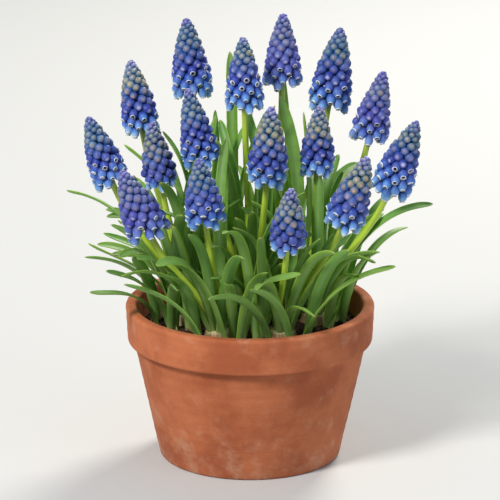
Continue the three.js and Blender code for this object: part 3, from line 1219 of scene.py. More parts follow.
@dataclass
class Bulb:
    """A bulb in its papery skin, whose neck closes round the feet of its leaves and stalks.

    Attributes:
        plant: which bulb it is.
        sides: points round it.
        body_rings: rings up its body.
        neck_rings: rings over its neck, with the one at the body's top and the point at the very top.
        dome: how far its neck rises in the middle.
        ribs: how far the skin's fibres stand out.
        rib_length: how long a rib is.
        rib_turn: radius of the circle that the ribs are read on, in ribs' widths.
        apart: how far apart the ribs of two bulbs are read, in widths for each metre from left to right.
        finish: what it is made of.
    """

    plant: str
    sides: int = 40
    body_rings: int = 22
    neck_rings: int = 9
    dome: float = 2.4 * MM
    ribs: float = 0.3 * MM
    rib_length: float = 9 * MM
    rib_turn: float = 6.0
    apart: float = 900.0
    finish: Finish = PaperyTunic()

    def centre(self) -> Array:
        """The middle of the bulb's neck."""
        low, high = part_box(f"bulb_{self.plant}")
        return np.array([(low.x + high.x) / 2, (low.y + high.y) / 2, high.z])

    def profile(self, centre: Array) -> Array:
        """The node's own outline, closed by a low dome.

        The dome is a quarter of an ellipse, radius · cos(q) out and dome · sin(q) up.

        Args:
            centre: the middle of the bulb's neck.

        Returns:
            (m, 2) radii and heights.
        """
        points, _ = node_mesh(f"bulb_{self.plant}")
        radius = np.hypot(*(points - centre)[:, :2].T)
        heights = np.unique(np.round(points[:, 2], 5))
        level = 0.02 * MM
        outline = np.array([[radius[np.abs(points[:, 2] - z) < level].max(), 0, z] for z in heights])
        body = run_through(outline, np.linspace(0, 1, self.body_rings))[:, [0, 2]]
        q = np.linspace(0, math.pi / 2, self.neck_rings)[1:-1, None]
        neck = np.concatenate([body[-1, 0] * np.cos(q), body[-1, 1] + self.dome * np.sin(q)], 1)
        return np.concatenate([body, neck])

    def build(self) -> bpy.types.Object:
        """Turns the profile about the bulb's axis and raises fibres that run up it.

        The fibres add ribs times a relief that is stretched along the bulb. Living tissue starts half a
        millimetre under the neck and is full at the dome's top.

        Returns:
            The bulb.
        """
        centre = self.centre()
        profile = self.profile(centre)
        radius, height = profile[:, :1], profile[:, 1:]
        angle = angles_round(self.sides)
        rise = height - height[0]
        spots = stacked(
            self.rib_turn * np.cos(angle), self.rib_turn * np.sin(angle), rise / self.rib_length
        )
        radius = radius + self.ribs * RELIEF.at(spots + centre[0] * self.apart, 1.0, 2)
        rings = stacked(centre[0] + radius * np.cos(angle), centre[1] + radius * np.sin(angle), height)
        top = centre + self.dome * UP
        whole = np.concatenate([rise[:1], rise, rise[-1:]])
        heights = np.concatenate([height[:1], height, [top[2:]]])
        living = eased(-0.5 * MM, self.dome, heights - centre[2])
        shell = Shell.of_rings(
            rings[None],
            np.append(centre[:2], height[0])[None],
            top[None],
            round=stacked(np.cos(angle), np.sin(angle), whole),
            rise=stacked(0.0, 0.0, living),
        )
        return shell.piece(f"bulb_skin_{self.plant}", self.finish, (f"bulb_{self.plant}",))


@dataclass(frozen=True)
class Habit:
    """How a raceme looks as a whole.

    Attributes:
        ripe: the share of its height, from its foot, whose bells are open.
        purple: how far its florets lean to violet.
        warm: how strong the olive and pink of its young buds' noses is.
        pale: how strong the light bloom is.
        skirt: how wide its foot is, as a share of its widest.
    """

    ripe: float
    purple: float
    warm: float
    pale: float
    skirt: float


class Stage(Enum):
    """The kinds of raceme in the clump, from just opened to nearly over."""

    YOUNG = Habit(ripe=0.16, purple=0.12, warm=0.80, pale=0.35, skirt=0.82)
    OLIVE = Habit(ripe=0.27, purple=0.00, warm=1.00, pale=0.30, skirt=0.86)
    BLUE = Habit(ripe=0.36, purple=0.04, warm=0.30, pale=0.20, skirt=0.92)
    VIOLET = Habit(ripe=0.31, purple=0.42, warm=0.60, pale=0.45, skirt=1.02)
    FULL = Habit(ripe=0.46, purple=0.00, warm=0.50, pale=0.25, skirt=0.96)


@dataclass
class Florets:
    """The florets of one raceme, a row each.

    Attributes:
        base: (n, 3) places of their bases.
        heading: (n, 3) unit vectors from base to far end.
        aside: (n, 3) unit vectors level round the raceme, at right angles to the headings.
        out: (n, 3) unit vectors from the raceme's axis out to them.
        long: (n,) lengths.
        width: (n,) widths.
        age: (n,) ages.
        sort: (n, 3) how light each one's bloom is, how violet it is and how olive its nose is.
    """

    base: Array
    heading: Array
    aside: Array
    out: Array
    long: Array
    width: Array
    age: Array
    sort: Array

    def only(self, chosen: Array) -> "Florets":
        """The florets that a mask chooses."""
        return Florets(*(getattr(self, column.name)[chosen] for column in fields(self)))


@dataclass
class Raceme:
    """A spike of florets set in a spiral round the stalk's end.

    Attributes:
        number: the number of the raceme's node and of its stalk.
        stage: which kind of raceme it is.
        bell_sides: points round an open bell, two for each of its six teeth.
        bud_sides: points round a bud.
        span: where its florets start and end, as shares of its height.
        usual_radius: the widest radius of a raceme with florets of the usual size.
        counted_at: how many heights the florets are counted at.
        unevenness: how far a floret strays in share of height, turn, size, tilt and age.
        bloom_stray: how much less and more bloom one may have than its raceme's florets do.
        hue_stray: how far one strays to violet, and its nose to olive.
        evenness: the least and the most that a floret reaches out, as shares of the raceme's outline.
        tooth: how far a tooth stands out and forward of the rim, and the gap beside it in and back, as
            shares of the half width and of the length.
        throat: where the inside of a bell ends, as a share of its length from its base.
        root: how far from the axis a pedicel starts, inside the rachis except near the tip.
        drop: how far under its floret's base it starts.
        inside: how far it reaches into the floret.
        bend: how far before its end its handle lies.
        pedicel: a pedicel's radius.
        finish: what it is made of.
        HEIGHTS: shares of a raceme's height, at which the next four are given.
        SPACING: the climb from each floret to the next.
        WIDTH: a floret's width.
        LENGTH: a floret's length.
        TILT: how far a floret points above level.
        BUD: a bud's profile: shares of its length, and of its half width there.
        BELL: an open bell's profile, the last ring of which is its teeth.
    """

    number: int
    stage: Stage
    bell_sides: int = 12
    bud_sides: int = 10
    span: tuple = (-0.03, 0.995)
    usual_radius: float = 11.2 * MM
    counted_at: int = 400
    unevenness: tuple = (0.004, 0.05, 0.05, 0.09, 0.02)
    bloom_stray: tuple = (-0.3, 0.5)
    hue_stray: tuple = (0.06, 0.12)
    evenness: tuple = (0.97, 1.04)
    tooth: tuple = ((0.05, 0.01), (-0.05, -0.025))
    throat: float = 0.74
    root: float = 0.78 * MM
    drop: float = 0.6 * MM
    inside: float = 0.4 * MM
    bend: float = 1.1 * MM
    pedicel: float = 0.5 * MM
    finish: Finish = FloretSkin()

    HEIGHTS = np.array([0.0, 0.3, 0.6, 0.8, 0.95, 1.0])
    SPACING = np.array([0.59, 0.56, 0.53, 0.46, 0.37, 0.34]) * MM
    WIDTH = np.array([5.1, 5.5, 5.2, 4.0, 2.85, 2.35]) * MM
    LENGTH = np.array([7.3, 7.0, 5.8, 4.3, 3.0, 2.4]) * MM
    TILT = np.radians([-66, -32, 4, 27, 60, 84])
    BUD = np.array([[0.05, 0.50], [0.25, 0.88], [0.52, 1.0], [0.77, 0.92], [0.94, 0.56]])
    BELL = np.array([[0.05, 0.52], [0.27, 0.91], [0.58, 1.0], [0.79, 0.82], [0.89, 0.54], [0.98, 0.61]])

    def axis(self) -> tuple[Array, Array, float]:
        """Measures the raceme's node.

        Returns:
            Its foot, its tip and its widest radius.
        """
        skin = skin_of(f"raceme_{self.number:02d}", from_top=True)
        return skin.centres()[-3], skin.start, float(skin.radii().max())

    def swell(self, share: Array, widest_at: float = 0.2) -> Array:
        """How wide the raceme is at a share of its height, as a share of its widest.

        It is a straight line from its skirt's width at the foot to 1 where it is widest, and from there on
        (1 - climb^1.6)^0.7, where climb is the share of the way from there to the tip.

        Args:
            share: shares of its height.
            widest_at: the share at which it is widest.

        Returns:
            Its widths there.
        """
        climb = np.clip((share - widest_at) / (1 - widest_at), 0, 1)
        skirt = self.stage.value.skirt
        below = skirt + (1 - skirt) * share / widest_at
        return np.where(share < widest_at, below, (1 - climb**1.6) ** 0.7)

    def set_florets(
        self, rng: np.random.Generator, foot: Array, up: Array, length: float, widest: float
    ) -> Florets:
        """Sets the florets in a spiral.

        Floret k stands at k golden angles round the axis, and at the height where the florets below it,
        counted by height over spacing, are k + 0.5. Its far end lies on the raceme's outline, and it
        reaches back from there along its own direction, which tilts from hanging at the foot to upright at
        the tip.

        Args:
            rng: the source of chance.
            foot: the raceme's foot.
            up: the unit vector to its tip.
            length: its height.
            widest: its widest radius.

        Returns:
            The florets.
        """
        of_place, of_turn, of_size, of_tilt, of_age = self.unevenness
        fine = np.linspace(*self.span, self.counted_at)
        count = np.cumsum(length * (fine[1] - fine[0]) / np.interp(fine, self.HEIGHTS, self.SPACING))
        n = int(count[-1])
        share = np.interp(np.arange(n) + 0.5, count, fine) + rng.normal(0, of_place, n)
        turn = np.arange(n) * GOLDEN_ANGLE + rng.uniform(0, 2 * math.pi) + rng.normal(0, of_turn, n)
        scale = math.sqrt(widest / self.usual_radius) * rng.normal(1, of_size, n)
        tilt = np.interp(share, self.HEIGHTS, self.TILT) + rng.normal(0, of_tilt, n)
        habit = self.stage.value
        age = np.interp(share + rng.normal(0, of_age, n), [0, habit.ripe, 1], [1, OPEN_AGE, 0])
        width, long = (np.interp(share, self.HEIGHTS, sizes) * scale for sizes in (self.WIDTH, self.LENGTH))
        out = round_about(up, unit(np.cross(up, BACK)), turn)
        heading = out * np.cos(tilt)[:, None] + up * np.sin(tilt)[:, None]
        reach = widest * self.swell(share) * rng.uniform(*self.evenness, n)
        far = foot + up * (share * length)[:, None] + out * reach[:, None]
        sort = stacked(
            habit.pale + rng.uniform(*self.bloom_stray, n),
            habit.purple + rng.normal(0, self.hue_stray[0], n),
            habit.warm + rng.normal(0, self.hue_stray[1], n),
        ).clip(0, 1)
        base = far - heading * long[:, None]
        return Florets(base, heading, np.cross(up, out), out, long, width, age, sort)

    def skinned(self, florets: Florets, is_open: bool) -> Shell:
        """Skins buds or open bells over rings across their headings.

        A ring lies at its profile's share of the floret's length, and has its profile's share of the half
        width. The last ring of an open bell is its six teeth: every other point stands further out and
        forward, and the skin turns in from there to the bottom of the throat.

        Args:
            florets: florets that are all buds or all open bells.
            is_open: whether they are open bells.

        Returns:
            The shell of all of them.
        """
        sides, profile = (self.bell_sides, self.BELL) if is_open else (self.bud_sides, self.BUD)
        spokes = round_about(
            florets.heading[:, None, None], florets.aside[:, None, None], angles_round(sides)[None, None]
        )
        r = len(profile)
        along, radius = (np.broadcast_to(column[:, None], (r, sides)).copy() for column in profile.T)
        part = np.zeros((r + 2, sides))
        if is_open:
            is_tooth = (np.arange(sides) % 2 == 0)[:, None]
            outward, forward = np.where(is_tooth, *self.tooth).T
            radius[-1] += outward
            along[-1] += forward
            part[-2], part[-1] = 1, 2
        heading, long = florets.heading[:, None, None], florets.long[:, None, None, None]
        half = florets.width[:, None, None, None] / 2
        rings = (
            florets.base[:, None, None]
            + heading * (along[..., None] * long)
            + spokes * (radius[..., None] * half)
        )
        end = florets.base + florets.heading * (florets.long * (self.throat if is_open else 1.0))[:, None]
        reach = np.concatenate([np.zeros((1, sides)), along, np.ones((1, sides))])
        bell = stacked(florets.age[:, None, None], reach, part)
        return Shell.of_rings(rings, florets.base, end, bell=bell, sort=florets.sort[:, None, None])

    def pedicels(self, florets: Florets, foot: Array, up: Array) -> Shell:
        """Skins the florets' short stalks, each bent from the rachis out and over into its floret's base.

        Args:
            florets: the florets.
            foot: the raceme's foot.
            up: the unit vector to its tip.

        Returns:
            The shell of all of them.
        """
        level = (florets.base - foot) @ up
        start = foot + up * (level - self.drop)[:, None] + florets.out * self.root
        end = florets.base + florets.heading * self.inside
        handle = end - florets.heading * self.bend
        t = np.array([0.0, 0.35, 0.7, 1.0])[None, :, None]
        line = bent(start[:, None], handle[:, None], end[:, None], t)
        ahead = unit(np.gradient(line, axis=1))
        spokes = round_about(ahead[:, :, None], florets.aside[:, None, None], angles_round(4))
        rings = line[:, :, None] + spokes * self.pedicel
        bell = stacked(florets.age, 0.0, -1.0)[:, None, None]
        return Shell.of_rings(rings, line[:, 0], line[:, -1], bell=bell, sort=florets.sort[:, None, None])

    def build(self, rng: np.random.Generator) -> bpy.types.Object:
        """Sets the florets and skins them and their pedicels.

        Args:
            rng: the source of chance.

        Returns:
            The raceme.
        """
        foot, tip, widest = self.axis()
        length = np.linalg.norm(tip - foot)
        up = (tip - foot) / length
        florets = self.set_florets(rng, foot, up, length, widest)
        opened = florets.age >= OPEN_AGE
        shells = [
            self.skinned(florets.only(opened == is_open), is_open)
            for is_open in (False, True)
            if (opened == is_open).any()
        ]
        shell = Shell.joined(shells + [self.pedicels(florets, foot, up)])
        return shell.piece(f"florets_{self.number:02d}", self.finish, (f"raceme_{self.number:02d}",))


@dataclass
class FlowerStalk:
    """A flower stalk with its end in the raceme.

    Attributes:
        number: the number of the stalk's node and of its raceme.
        sides: points round it.
        stations: points along it.
        sunk: how far its foot reaches down into the bulb's neck.
        tip: the radius of its end, in the raceme's tip.
        collar: how much thicker it is at the raceme's foot than below it.
        end: how far up the raceme it ends, as a share of the raceme's height.
        inner_points: how many points its line has in the raceme.
        ridges: how far its five faint ridges stand out, as a share of its radius.
        uneven: how far its thickness strays, as a share of its radius.
        uneven_length: how long its thicker stretches are.
        finish: what it is made of.
    """

    number: int
    sides: int = 15
    stations: int = 64
    sunk: float = 3 * MM
    tip: float = 0.5 * MM
    collar: float = 1.15
    end: float = 0.95
    inner_points: int = 5
    ridges: float = 0.035
    uneven: float = 0.05
    uneven_length: float = 16 * MM
    finish: Finish = FleshyStalk()

    def build(self, rng: np.random.Generator) -> bpy.types.Object:
        """Skins the stalk along the node's rings and on up the raceme's axis.

        Inside the raceme its radius goes from the collar's to the tip's with the square of the climb.

        Args:
            rng: the source of chance.

        Returns:
            The stalk.
        """
        skin = skin_of(f"stalk_{self.number:02d}")
        centres, radii = skin.centres(), skin.radii().mean(1)
        top = skin_of(f"raceme_{self.number:02d}", from_top=True).start
        below = centres[0] - unit(centres[1] - centres[0]) * self.sunk
        climb = np.linspace(0, self.end, self.inner_points + 1)[1:, None]
        inside = centres[-2] * (1 - climb) + top * climb
        thin = radii[-2] * self.collar * (1 - climb**2) + self.tip * climb**2
        line = np.concatenate([
            np.append(below, radii[0])[None], np.c_[centres[:-1], radii[:-1]], np.c_[inside, thin],
        ])
        fine = run_through(line, np.linspace(0, 1, self.stations))
        ahead = unit(np.gradient(fine[:, :3], axis=0))
        angle = angles_round(self.sides)
        spokes = round_about(ahead[:, None], unit(np.cross(BACK, ahead))[:, None], angle)
        stray = 1 + self.ridges * np.cos(5 * angle + rng.uniform(0, 6))
        stray = stray + self.uneven * RELIEF.at(fine[:, :3], self.uneven_length)[:, None]
        rings = fine[:, None, :3] + spokes * (fine[:, 3, None] * stray)[..., None]
        length = lengths_along(fine[:, :3])
        raceme_at = length[-1] - np.linalg.norm(inside[-1] - centres[-2])
        in_raceme = 1 + (length - raceme_at) / (length[-1] - raceme_at)
        flower = np.where(length < raceme_at, length / raceme_at, in_raceme)
        whole, flower = (np.concatenate([part[:1], part, part[-1:]]) for part in (length, flower))
        shell = Shell.of_rings(
            rings[None],
            fine[:1, :3],
            fine[-1:, :3],
            round=stacked(np.cos(angle), np.sin(angle), whole[:, None]),
            rise=stacked(whole - self.sunk, flower, rng.random())[:, None],
        )
        return shell.piece(f"scape_{self.number:02d}", self.finish, (f"stalk_{self.number:02d}",))


@dataclass
class BladeLine:
    """The middle line of a leaf blade from its foot to its tip.

    Attributes:
        centre: (n, 3) places.
        side: (n, 3) unit vectors across the blade.
        inner: (n, 3) unit vectors out of its hollow face.
        half_width: half of its width where it is widest.
    """

    centre: Array
    side: Array
    inner: Array
    half_width: float

    @classmethod
    def of_node(cls, name: str) -> "BladeLine":
        """Measures a leaf's node.

        The two points of a ring that lie furthest apart are its edges, and they are lifted off the others
        towards the hollow face. An edge keeps its side from ring to ring.

        Args:
            name: the node.

        Returns:
            Its middle line.
        """
        rings = skin_of(name).rings
        n = np.arange(len(rings))
        apart = np.linalg.norm(rings[:, :, None] - rings[:, None], axis=-1).reshape(len(rings), -1)
        first, second = np.divmod(apart.argmax(1), rings.shape[1])
        one, other = rings[n, first], rings[n, second]
        across = other - one
        same = np.sign((across[1:] * across[:-1]).sum(-1))
        across = across * np.cumprod(np.concatenate([[1], same]))[:, None]
        middle = (rings.sum(1) - one - other) / (rings.shape[1] - 2)
        inner = (one + other) / 2 - middle
        width = np.linalg.norm(across, axis=1) / 2
        return cls(middle, unit(across), unit(inner), float(width.max()))

    @classmethod
    def arched(
        cls, foot: Array, angle: float, reach: float, rise: float, lean: float, tip: float, twist: float,
        half_width: float,
    ) -> "BladeLine":
        """Draws a leaf that grows out from its foot and arches over.

        The line is the cubic (1-t)³·a + 3t(1-t)²·b + 3t²(1-t)·c + t³·d from foot to end. Its handle b lies
        0.42 of the chord along the lean at the foot, and c lies 0.36 of it back along the lean at the tip.

        Args:
            foot: where it starts.
            angle: the way that it grows, in degrees round Z.
            reach: how far out it ends.
            rise: how far up it ends.
            lean: how far it leans out at its foot, in degrees off upright.
            tip: how far it leans at its tip.
            twist: how far it has turned about its own line at its tip, in degrees. The turn grows evenly.
            half_width: half of its width.

        Returns:
            Its middle line.
        """
        out = np.array([math.cos(math.radians(angle)), math.sin(math.radians(angle)), 0.0])
        end = foot + out * reach + UP * rise
        chord = np.linalg.norm(end - foot)
        leaning = [out * math.sin(math.radians(a)) + UP * math.cos(math.radians(a)) for a in (lean, tip)]
        t = np.linspace(0, 1, 14)[:, None]
        b, c = foot + leaning[0] * 0.42 * chord, end - leaning[1] * 0.36 * chord
        centre = (1 - t) ** 3 * foot + 3 * t * (1 - t) ** 2 * b + 3 * t**2 * (1 - t) * c + t**3 * end
        ahead = unit(np.gradient(centre, axis=0))
        flat = np.broadcast_to(np.cross(UP, out), centre.shape)
        side = round_about(ahead, flat, np.radians(twist) * t[:, 0])
        return cls(centre, side, np.cross(ahead, side), half_width)


@dataclass
class StrapLeaf:
    """A fleshy strap leaf, hollow along its inner face, with a blunt hooded tip.

    Attributes:
        line: its middle line.
        stations: rings along the blade.
        tip_rings: how many of them are in the tip, closer together towards its end.
        tip_end: where the last of them is, as a share of a quarter turn.
        point: how far the blade's very tip stands before the last of them.
        measured_at: how many points its length is measured at.
        sides: points round a ring.
        thickness: half of its thickness in the middle.
        hollow: how far its margins stand over its middle, as a share of the half width.
        tip: length over which it narrows to its tip.
        hood: how far the tip bends over its hollow face.
        sunk: how far its foot reaches down into the bulb's neck.
        roll: how far it rocks from side to side along its length, in radians.
        uneven: how far its width strays, as a share of it.
        uneven_length: how long its wider stretches are.
        youths: how far towards the youngest leaves' tint a leaf may be.
    """

    line: BladeLine
    stations: int = 46
    tip_rings: int = 12
    tip_end: float = 0.96
    point: float = 0.25 * MM
    measured_at: int = 60
    sides: int = 16
    thickness: float = 0.5 * MM
    hollow: float = 0.34
    tip: float = 9 * MM
    hood: float = 0.45 * MM
    sunk: float = 2.5 * MM
    roll: float = 0.05
    uneven: float = 0.04
    uneven_length: float = 22 * MM
    youths: tuple = (0.0, 0.12, 0.3)

    def measured(self) -> tuple[Array, Array, float]:
        """Finds where the rings lie along the blade.

        The rings of the body are evenly spaced, and those of the tip follow a sine, so that they close up.

        Returns:
            The middle line's points with its side and inner vectors, the rings' shares of the whole length,
            and that length.
        """
        line = self.line
        sunk = line.centre[0] - unit(line.centre[1] - line.centre[0]) * self.sunk
        packed = np.concatenate([line.centre, line.side, line.inner], 1)
        packed = np.concatenate([np.concatenate([sunk, packed[0, 3:]])[None], packed])
        rough = run_through(packed, np.linspace(0, 1, self.measured_at))
        length = np.linalg.norm(np.diff(rough[:, :3], axis=0), axis=1).sum()
        close = self.tip / length
        body = np.linspace(0, 1 - close, self.stations - self.tip_rings, endpoint=False)
        closing = np.sin(np.linspace(0, self.tip_end, self.tip_rings) * math.pi / 2)
        return packed, np.concatenate([body, 1 - close * (1 - closing)]), length

    def shell(self, rng: np.random.Generator) -> Shell:
        """Skins the blade.

        At a share v of the half width, a ring's middle stands hollow · half width · (|v|^1.7 - 0.4) towards
        the inner face, and up to half as much more in the tip. The skin is thickness · sqrt(1 - v⁴) off it
        on either side, times 1.4 at the foot and 0.9 from 0.3 of the way on. The width grows from 0.7 at
        the foot to 1 at 0.45 of the way and eases off by a fifth over the last 0.4. At a share x of the tip
        the width closes as (1 - x²)^0.55 and the thickness as (1 - x⁴)^0.5. The blade rocks about its line
        as a sine of one and a half waves.

        Args:
            rng: the source of chance.

        Returns:
            The shell.
        """
        packed, share, length = self.measured()
        close = self.tip / length
        fine = run_through(packed, share)
        centre, side = fine[:, :3], unit(fine[:, 3:6])
        ahead = unit(np.gradient(centre, axis=0))
        side = unit(side - ahead * (side * ahead).sum(-1, keepdims=True))
        face = np.cross(ahead, side)
        inward = np.sign((face * fine[:, 6:]).sum(-1)[len(fine) // 2])
        wave = rng.normal(0, self.roll, 2)
        side = round_about(ahead, side, wave[0] * np.sin(2 * math.pi * share * 1.5 + 6 * wave[1]))
        face = np.cross(ahead, side)

        x = np.clip((share - 1 + close) / close, 0, 1)
        width = self.line.half_width * (0.7 + 0.3 * eased(0, 0.45, share))
        width = width * (1 - 0.2 * eased(0.6, 1.0, share))
        width = width * (1 - x**2) ** 0.55 * (1 + self.uneven * RELIEF.at(centre, self.uneven_length))
        thick = self.thickness * (0.9 + 0.5 * eased(0.3, 0.0, share)) * (1 - x**4) ** 0.5
        centre = centre + face * (inward * self.hood * x**2)[:, None]
        angle = angles_round(self.sides)
        v, up = np.cos(angle), np.sin(angle)
        middle = inward * self.hollow * (1 + 0.5 * x)[:, None] * width[:, None] * (np.abs(v) ** 1.7 - 0.4)
        skin = thick[:, None] * np.sign(up) * np.sqrt(1 - v**4)
        across = side[:, None] * (width[:, None] * v)[..., None]
        rings = centre[:, None] + across + face[:, None] * (middle + skin)[..., None]
        whole = np.concatenate([[0], share, [1]])[:, None]
        nature = stacked(0.5 + 0.5 * inward * up, rng.random(), rng.choice(self.youths))
        tip = centre[-1] + ahead[-1] * self.point
        return Shell.of_rings(
            rings[None], centre[:1], tip[None], blade=stacked(v, whole, whole * length), nature=nature
        )


@dataclass
class Foliage:
    """The clump's leaves: the large ones, which have nodes, and the small ones that fill in between.

    Attributes:
        rng: the source of chance.
        racemes: each raceme's foot, tip and widest radius.
        taken: search trees of everything that a new leaf must not cut.
        room: half of the box that leaves stay in, and its top.
        above: height over which a new leaf must not cut anything. Below it leaves sheathe one another.
        seen_from: the unit vector from the clump to the camera.
        kept_in_sight: the shares of a raceme's height between which small leaves may not hide it.
        tries: how many leaves are drawn at most for each one asked for.
        offsets: the share of small leaves that grow from offsets beside the bulb, not from its neck.
        offset_ring: the least and the most that an offset's leaf stands from the bulb's middle.
        neck_ring: the same two of a leaf from the neck.
        offset_spread: how far round from the clump's outside an offset may be, in degrees.
        offset_drop: how much lower than the neck its leaves start.
        reach_mm: how far out an upright small leaf ends, and what full arching adds to it.
        rise_mm: how far up it ends, and what full arching adds.
        foot_lean: how far it leans at its foot, in degrees, and what full arching adds.
        tip_lean: the same two of its tip.
        stray: how far its rise strays, in millimetres, and its tip's lean, in degrees.
        grown: the least and the most of that rise that it has.
        twist: the most that it turns to either side, in degrees.
        half_width_mm: half of the narrowest one's width and of the widest one's.
        tip_mm: the shortest and the longest tip.
        finish: what they are made of.
    """

    rng: np.random.Generator
    racemes: list[tuple[Array, Array, float]]
    taken: list[BVHTree] = field(default_factory=list)
    room: tuple = (106 * MM, 90 * MM, 238 * MM)
    above: float = 87 * MM
    seen_from: tuple = (0.0, -0.956, 0.292)
    kept_in_sight: tuple = (0.2, 1.05)
    tries: int = 60
    offsets: float = 0.5
    offset_ring: tuple = (10, 17)
    neck_ring: tuple = (3, 5.5)
    offset_spread: float = 110.0
    offset_drop: float = 5.5 * MM
    reach_mm: tuple = (6, 50)
    rise_mm: tuple = (146, -94)
    foot_lean: tuple = (4, 16)
    tip_lean: tuple = (14, 75)
    stray: float = 8
    grown: tuple = (0.66, 1.06)
    twist: float = 50.0
    half_width_mm: tuple = (2.8, 3.7)
    tip_mm: tuple = (8, 17)
    finish: Finish = StrapLeafBlade()

    @staticmethod
    def tree(points: Array, polygons: list) -> BVHTree:
        """A search tree of a mesh."""
        return BVHTree.FromPolygons(points.tolist(), polygons)

    def keep_off(self, made: list[bpy.types.Object]) -> None:
        """Adds finished pieces to what new leaves must not cut.

        Args:
            made: the pieces.
        """
        for piece in made:
            points = np.empty(3 * len(piece.data.vertices), np.float32)
            piece.data.vertices.foreach_get("co", points)
            polygons = [tuple(face.vertices) for face in piece.data.polygons]
            self.taken.append(self.tree(points.reshape(-1, 3), polygons))

    def large(self, count: int) -> None:
        """Makes the leaves that have nodes, each in its node's place.

        Args:
            count: how many there are.
        """
        for number in range(1, count + 1):
            name = f"leaf_{number:02d}"
            shell = StrapLeaf(BladeLine.of_node(name)).shell(self.rng)
            shell.piece(f"blade_{number:02d}", self.finish, (name,))
            self.taken.append(self.tree(shell.points, shell.polygons()))

    def hides_flowers(self, line: BladeLine) -> bool:
        """Finds whether a leaf crosses a raceme that it stands in front of, as seen from the front.

        It does if a point of its middle line, moved along the line of sight, comes within the part of the
        raceme that is kept in sight.

        Args:
            line: the leaf's middle line.

        Returns:
            Whether it does.
        """
        sight = np.array(self.seen_from)
        lowest, highest = self.kept_in_sight
        for foot, tip, radius in self.racemes:
            length = np.linalg.norm(tip - foot)
            along = (tip - foot) / length
            beside = np.cross(sight, along)
            beside /= np.linalg.norm(beside)
            off = line.centre - foot
            depth = off @ sight
            level = (off - depth[:, None] * sight) @ along / length
            near = np.abs(off @ beside) < radius + line.half_width
            if ((depth > 0) & near & (level > lowest) & (level < highest)).any():
                return True
        return False

    def free(self, shell: Shell) -> BVHTree | None:
        """Tests a leaf's part above the bulb's neck.

        Args:
            shell: the leaf.

        Returns:
            The part's search tree, or None where it cuts something or leaves the room.
        """
        lowest, highest = shell.points.min(0), shell.points.max(0)
        if (np.maximum(-lowest[:2], highest[:2]) > self.room[:2]).any() or highest[2] > self.room[2]:
            return None
        high = shell.points[:, 2] > self.above
        clear = [face for face in shell.polygons() if high[face].all()]
        if not clear:
            return None
        tree = self.tree(shell.points, clear)
        return None if any(tree.overlap(other) for other in self.taken) else tree

    def sprout(self, centre: Array) -> BladeLine:
        """Draws the middle line of a small leaf.

        How far it arches is an even draw to the power of 1.25. Its reach grows with the arching to the
        power of 1.3. Its rise falls evenly with it, and its leans grow evenly.

        Args:
            centre: the middle of the bulb's neck.

        Returns:
            The line.
        """
        rng = self.rng
        outward = math.degrees(math.atan2(centre[1], centre[0]))
        angle = rng.uniform(0, 360)
        offset = rng.random() < self.offsets
        distance = rng.uniform(*(self.offset_ring if offset else self.neck_ring)) * MM
        start = outward + rng.uniform(-self.offset_spread, self.offset_spread) if offset else angle
        way = np.array([math.cos(math.radians(start)), math.sin(math.radians(start)), 0])
        foot = centre + distance * way
        foot[2] = centre[2] - (self.offset_drop if offset else 0)
        arching = rng.random() ** 1.25
        reach = (self.reach_mm[0] + self.reach_mm[1] * arching**1.3) * MM
        rise = (self.rise_mm[0] + self.rise_mm[1] * arching + rng.normal(0, self.stray)) * MM
        rise = rise * rng.uniform(*self.grown)
        return BladeLine.arched(
            foot,
            angle,
            reach,
            rise,
            lean=self.foot_lean[0] + self.foot_lean[1] * arching,
            tip=self.tip_lean[0] + self.tip_lean[1] * arching + rng.normal(0, self.stray),
            twist=rng.uniform(-self.twist, self.twist),
            half_width=rng.uniform(*self.half_width_mm) * MM,
        )

    def small(self, plant: str, centre: Array, count: int) -> None:
        """Fills in round one bulb with leaves, drawn until they clear the rest, and joined into one piece.

        Args:
            plant: which bulb it is.
            centre: the middle of its neck.
            count: how many leaves are asked for.
        """
        shells: list[Shell] = []
        for _ in range(count * self.tries):
            if len(shells) == count:
                break
            line = self.sprout(centre)
            if self.hides_flowers(line):
                continue
            tip = self.rng.uniform(*self.tip_mm) * MM
            shell = StrapLeaf(line, stations=38, sides=12, tip=tip).shell(self.rng)
            tree = self.free(shell)
            if tree is not None:
                shells.append(shell)
                self.taken.append(tree)
        log.info("%s: %d small leaves of %d", plant, len(shells), count)
        if shells:
            Shell.joined(shells).piece(f"small_leaves_{plant}", self.finish)


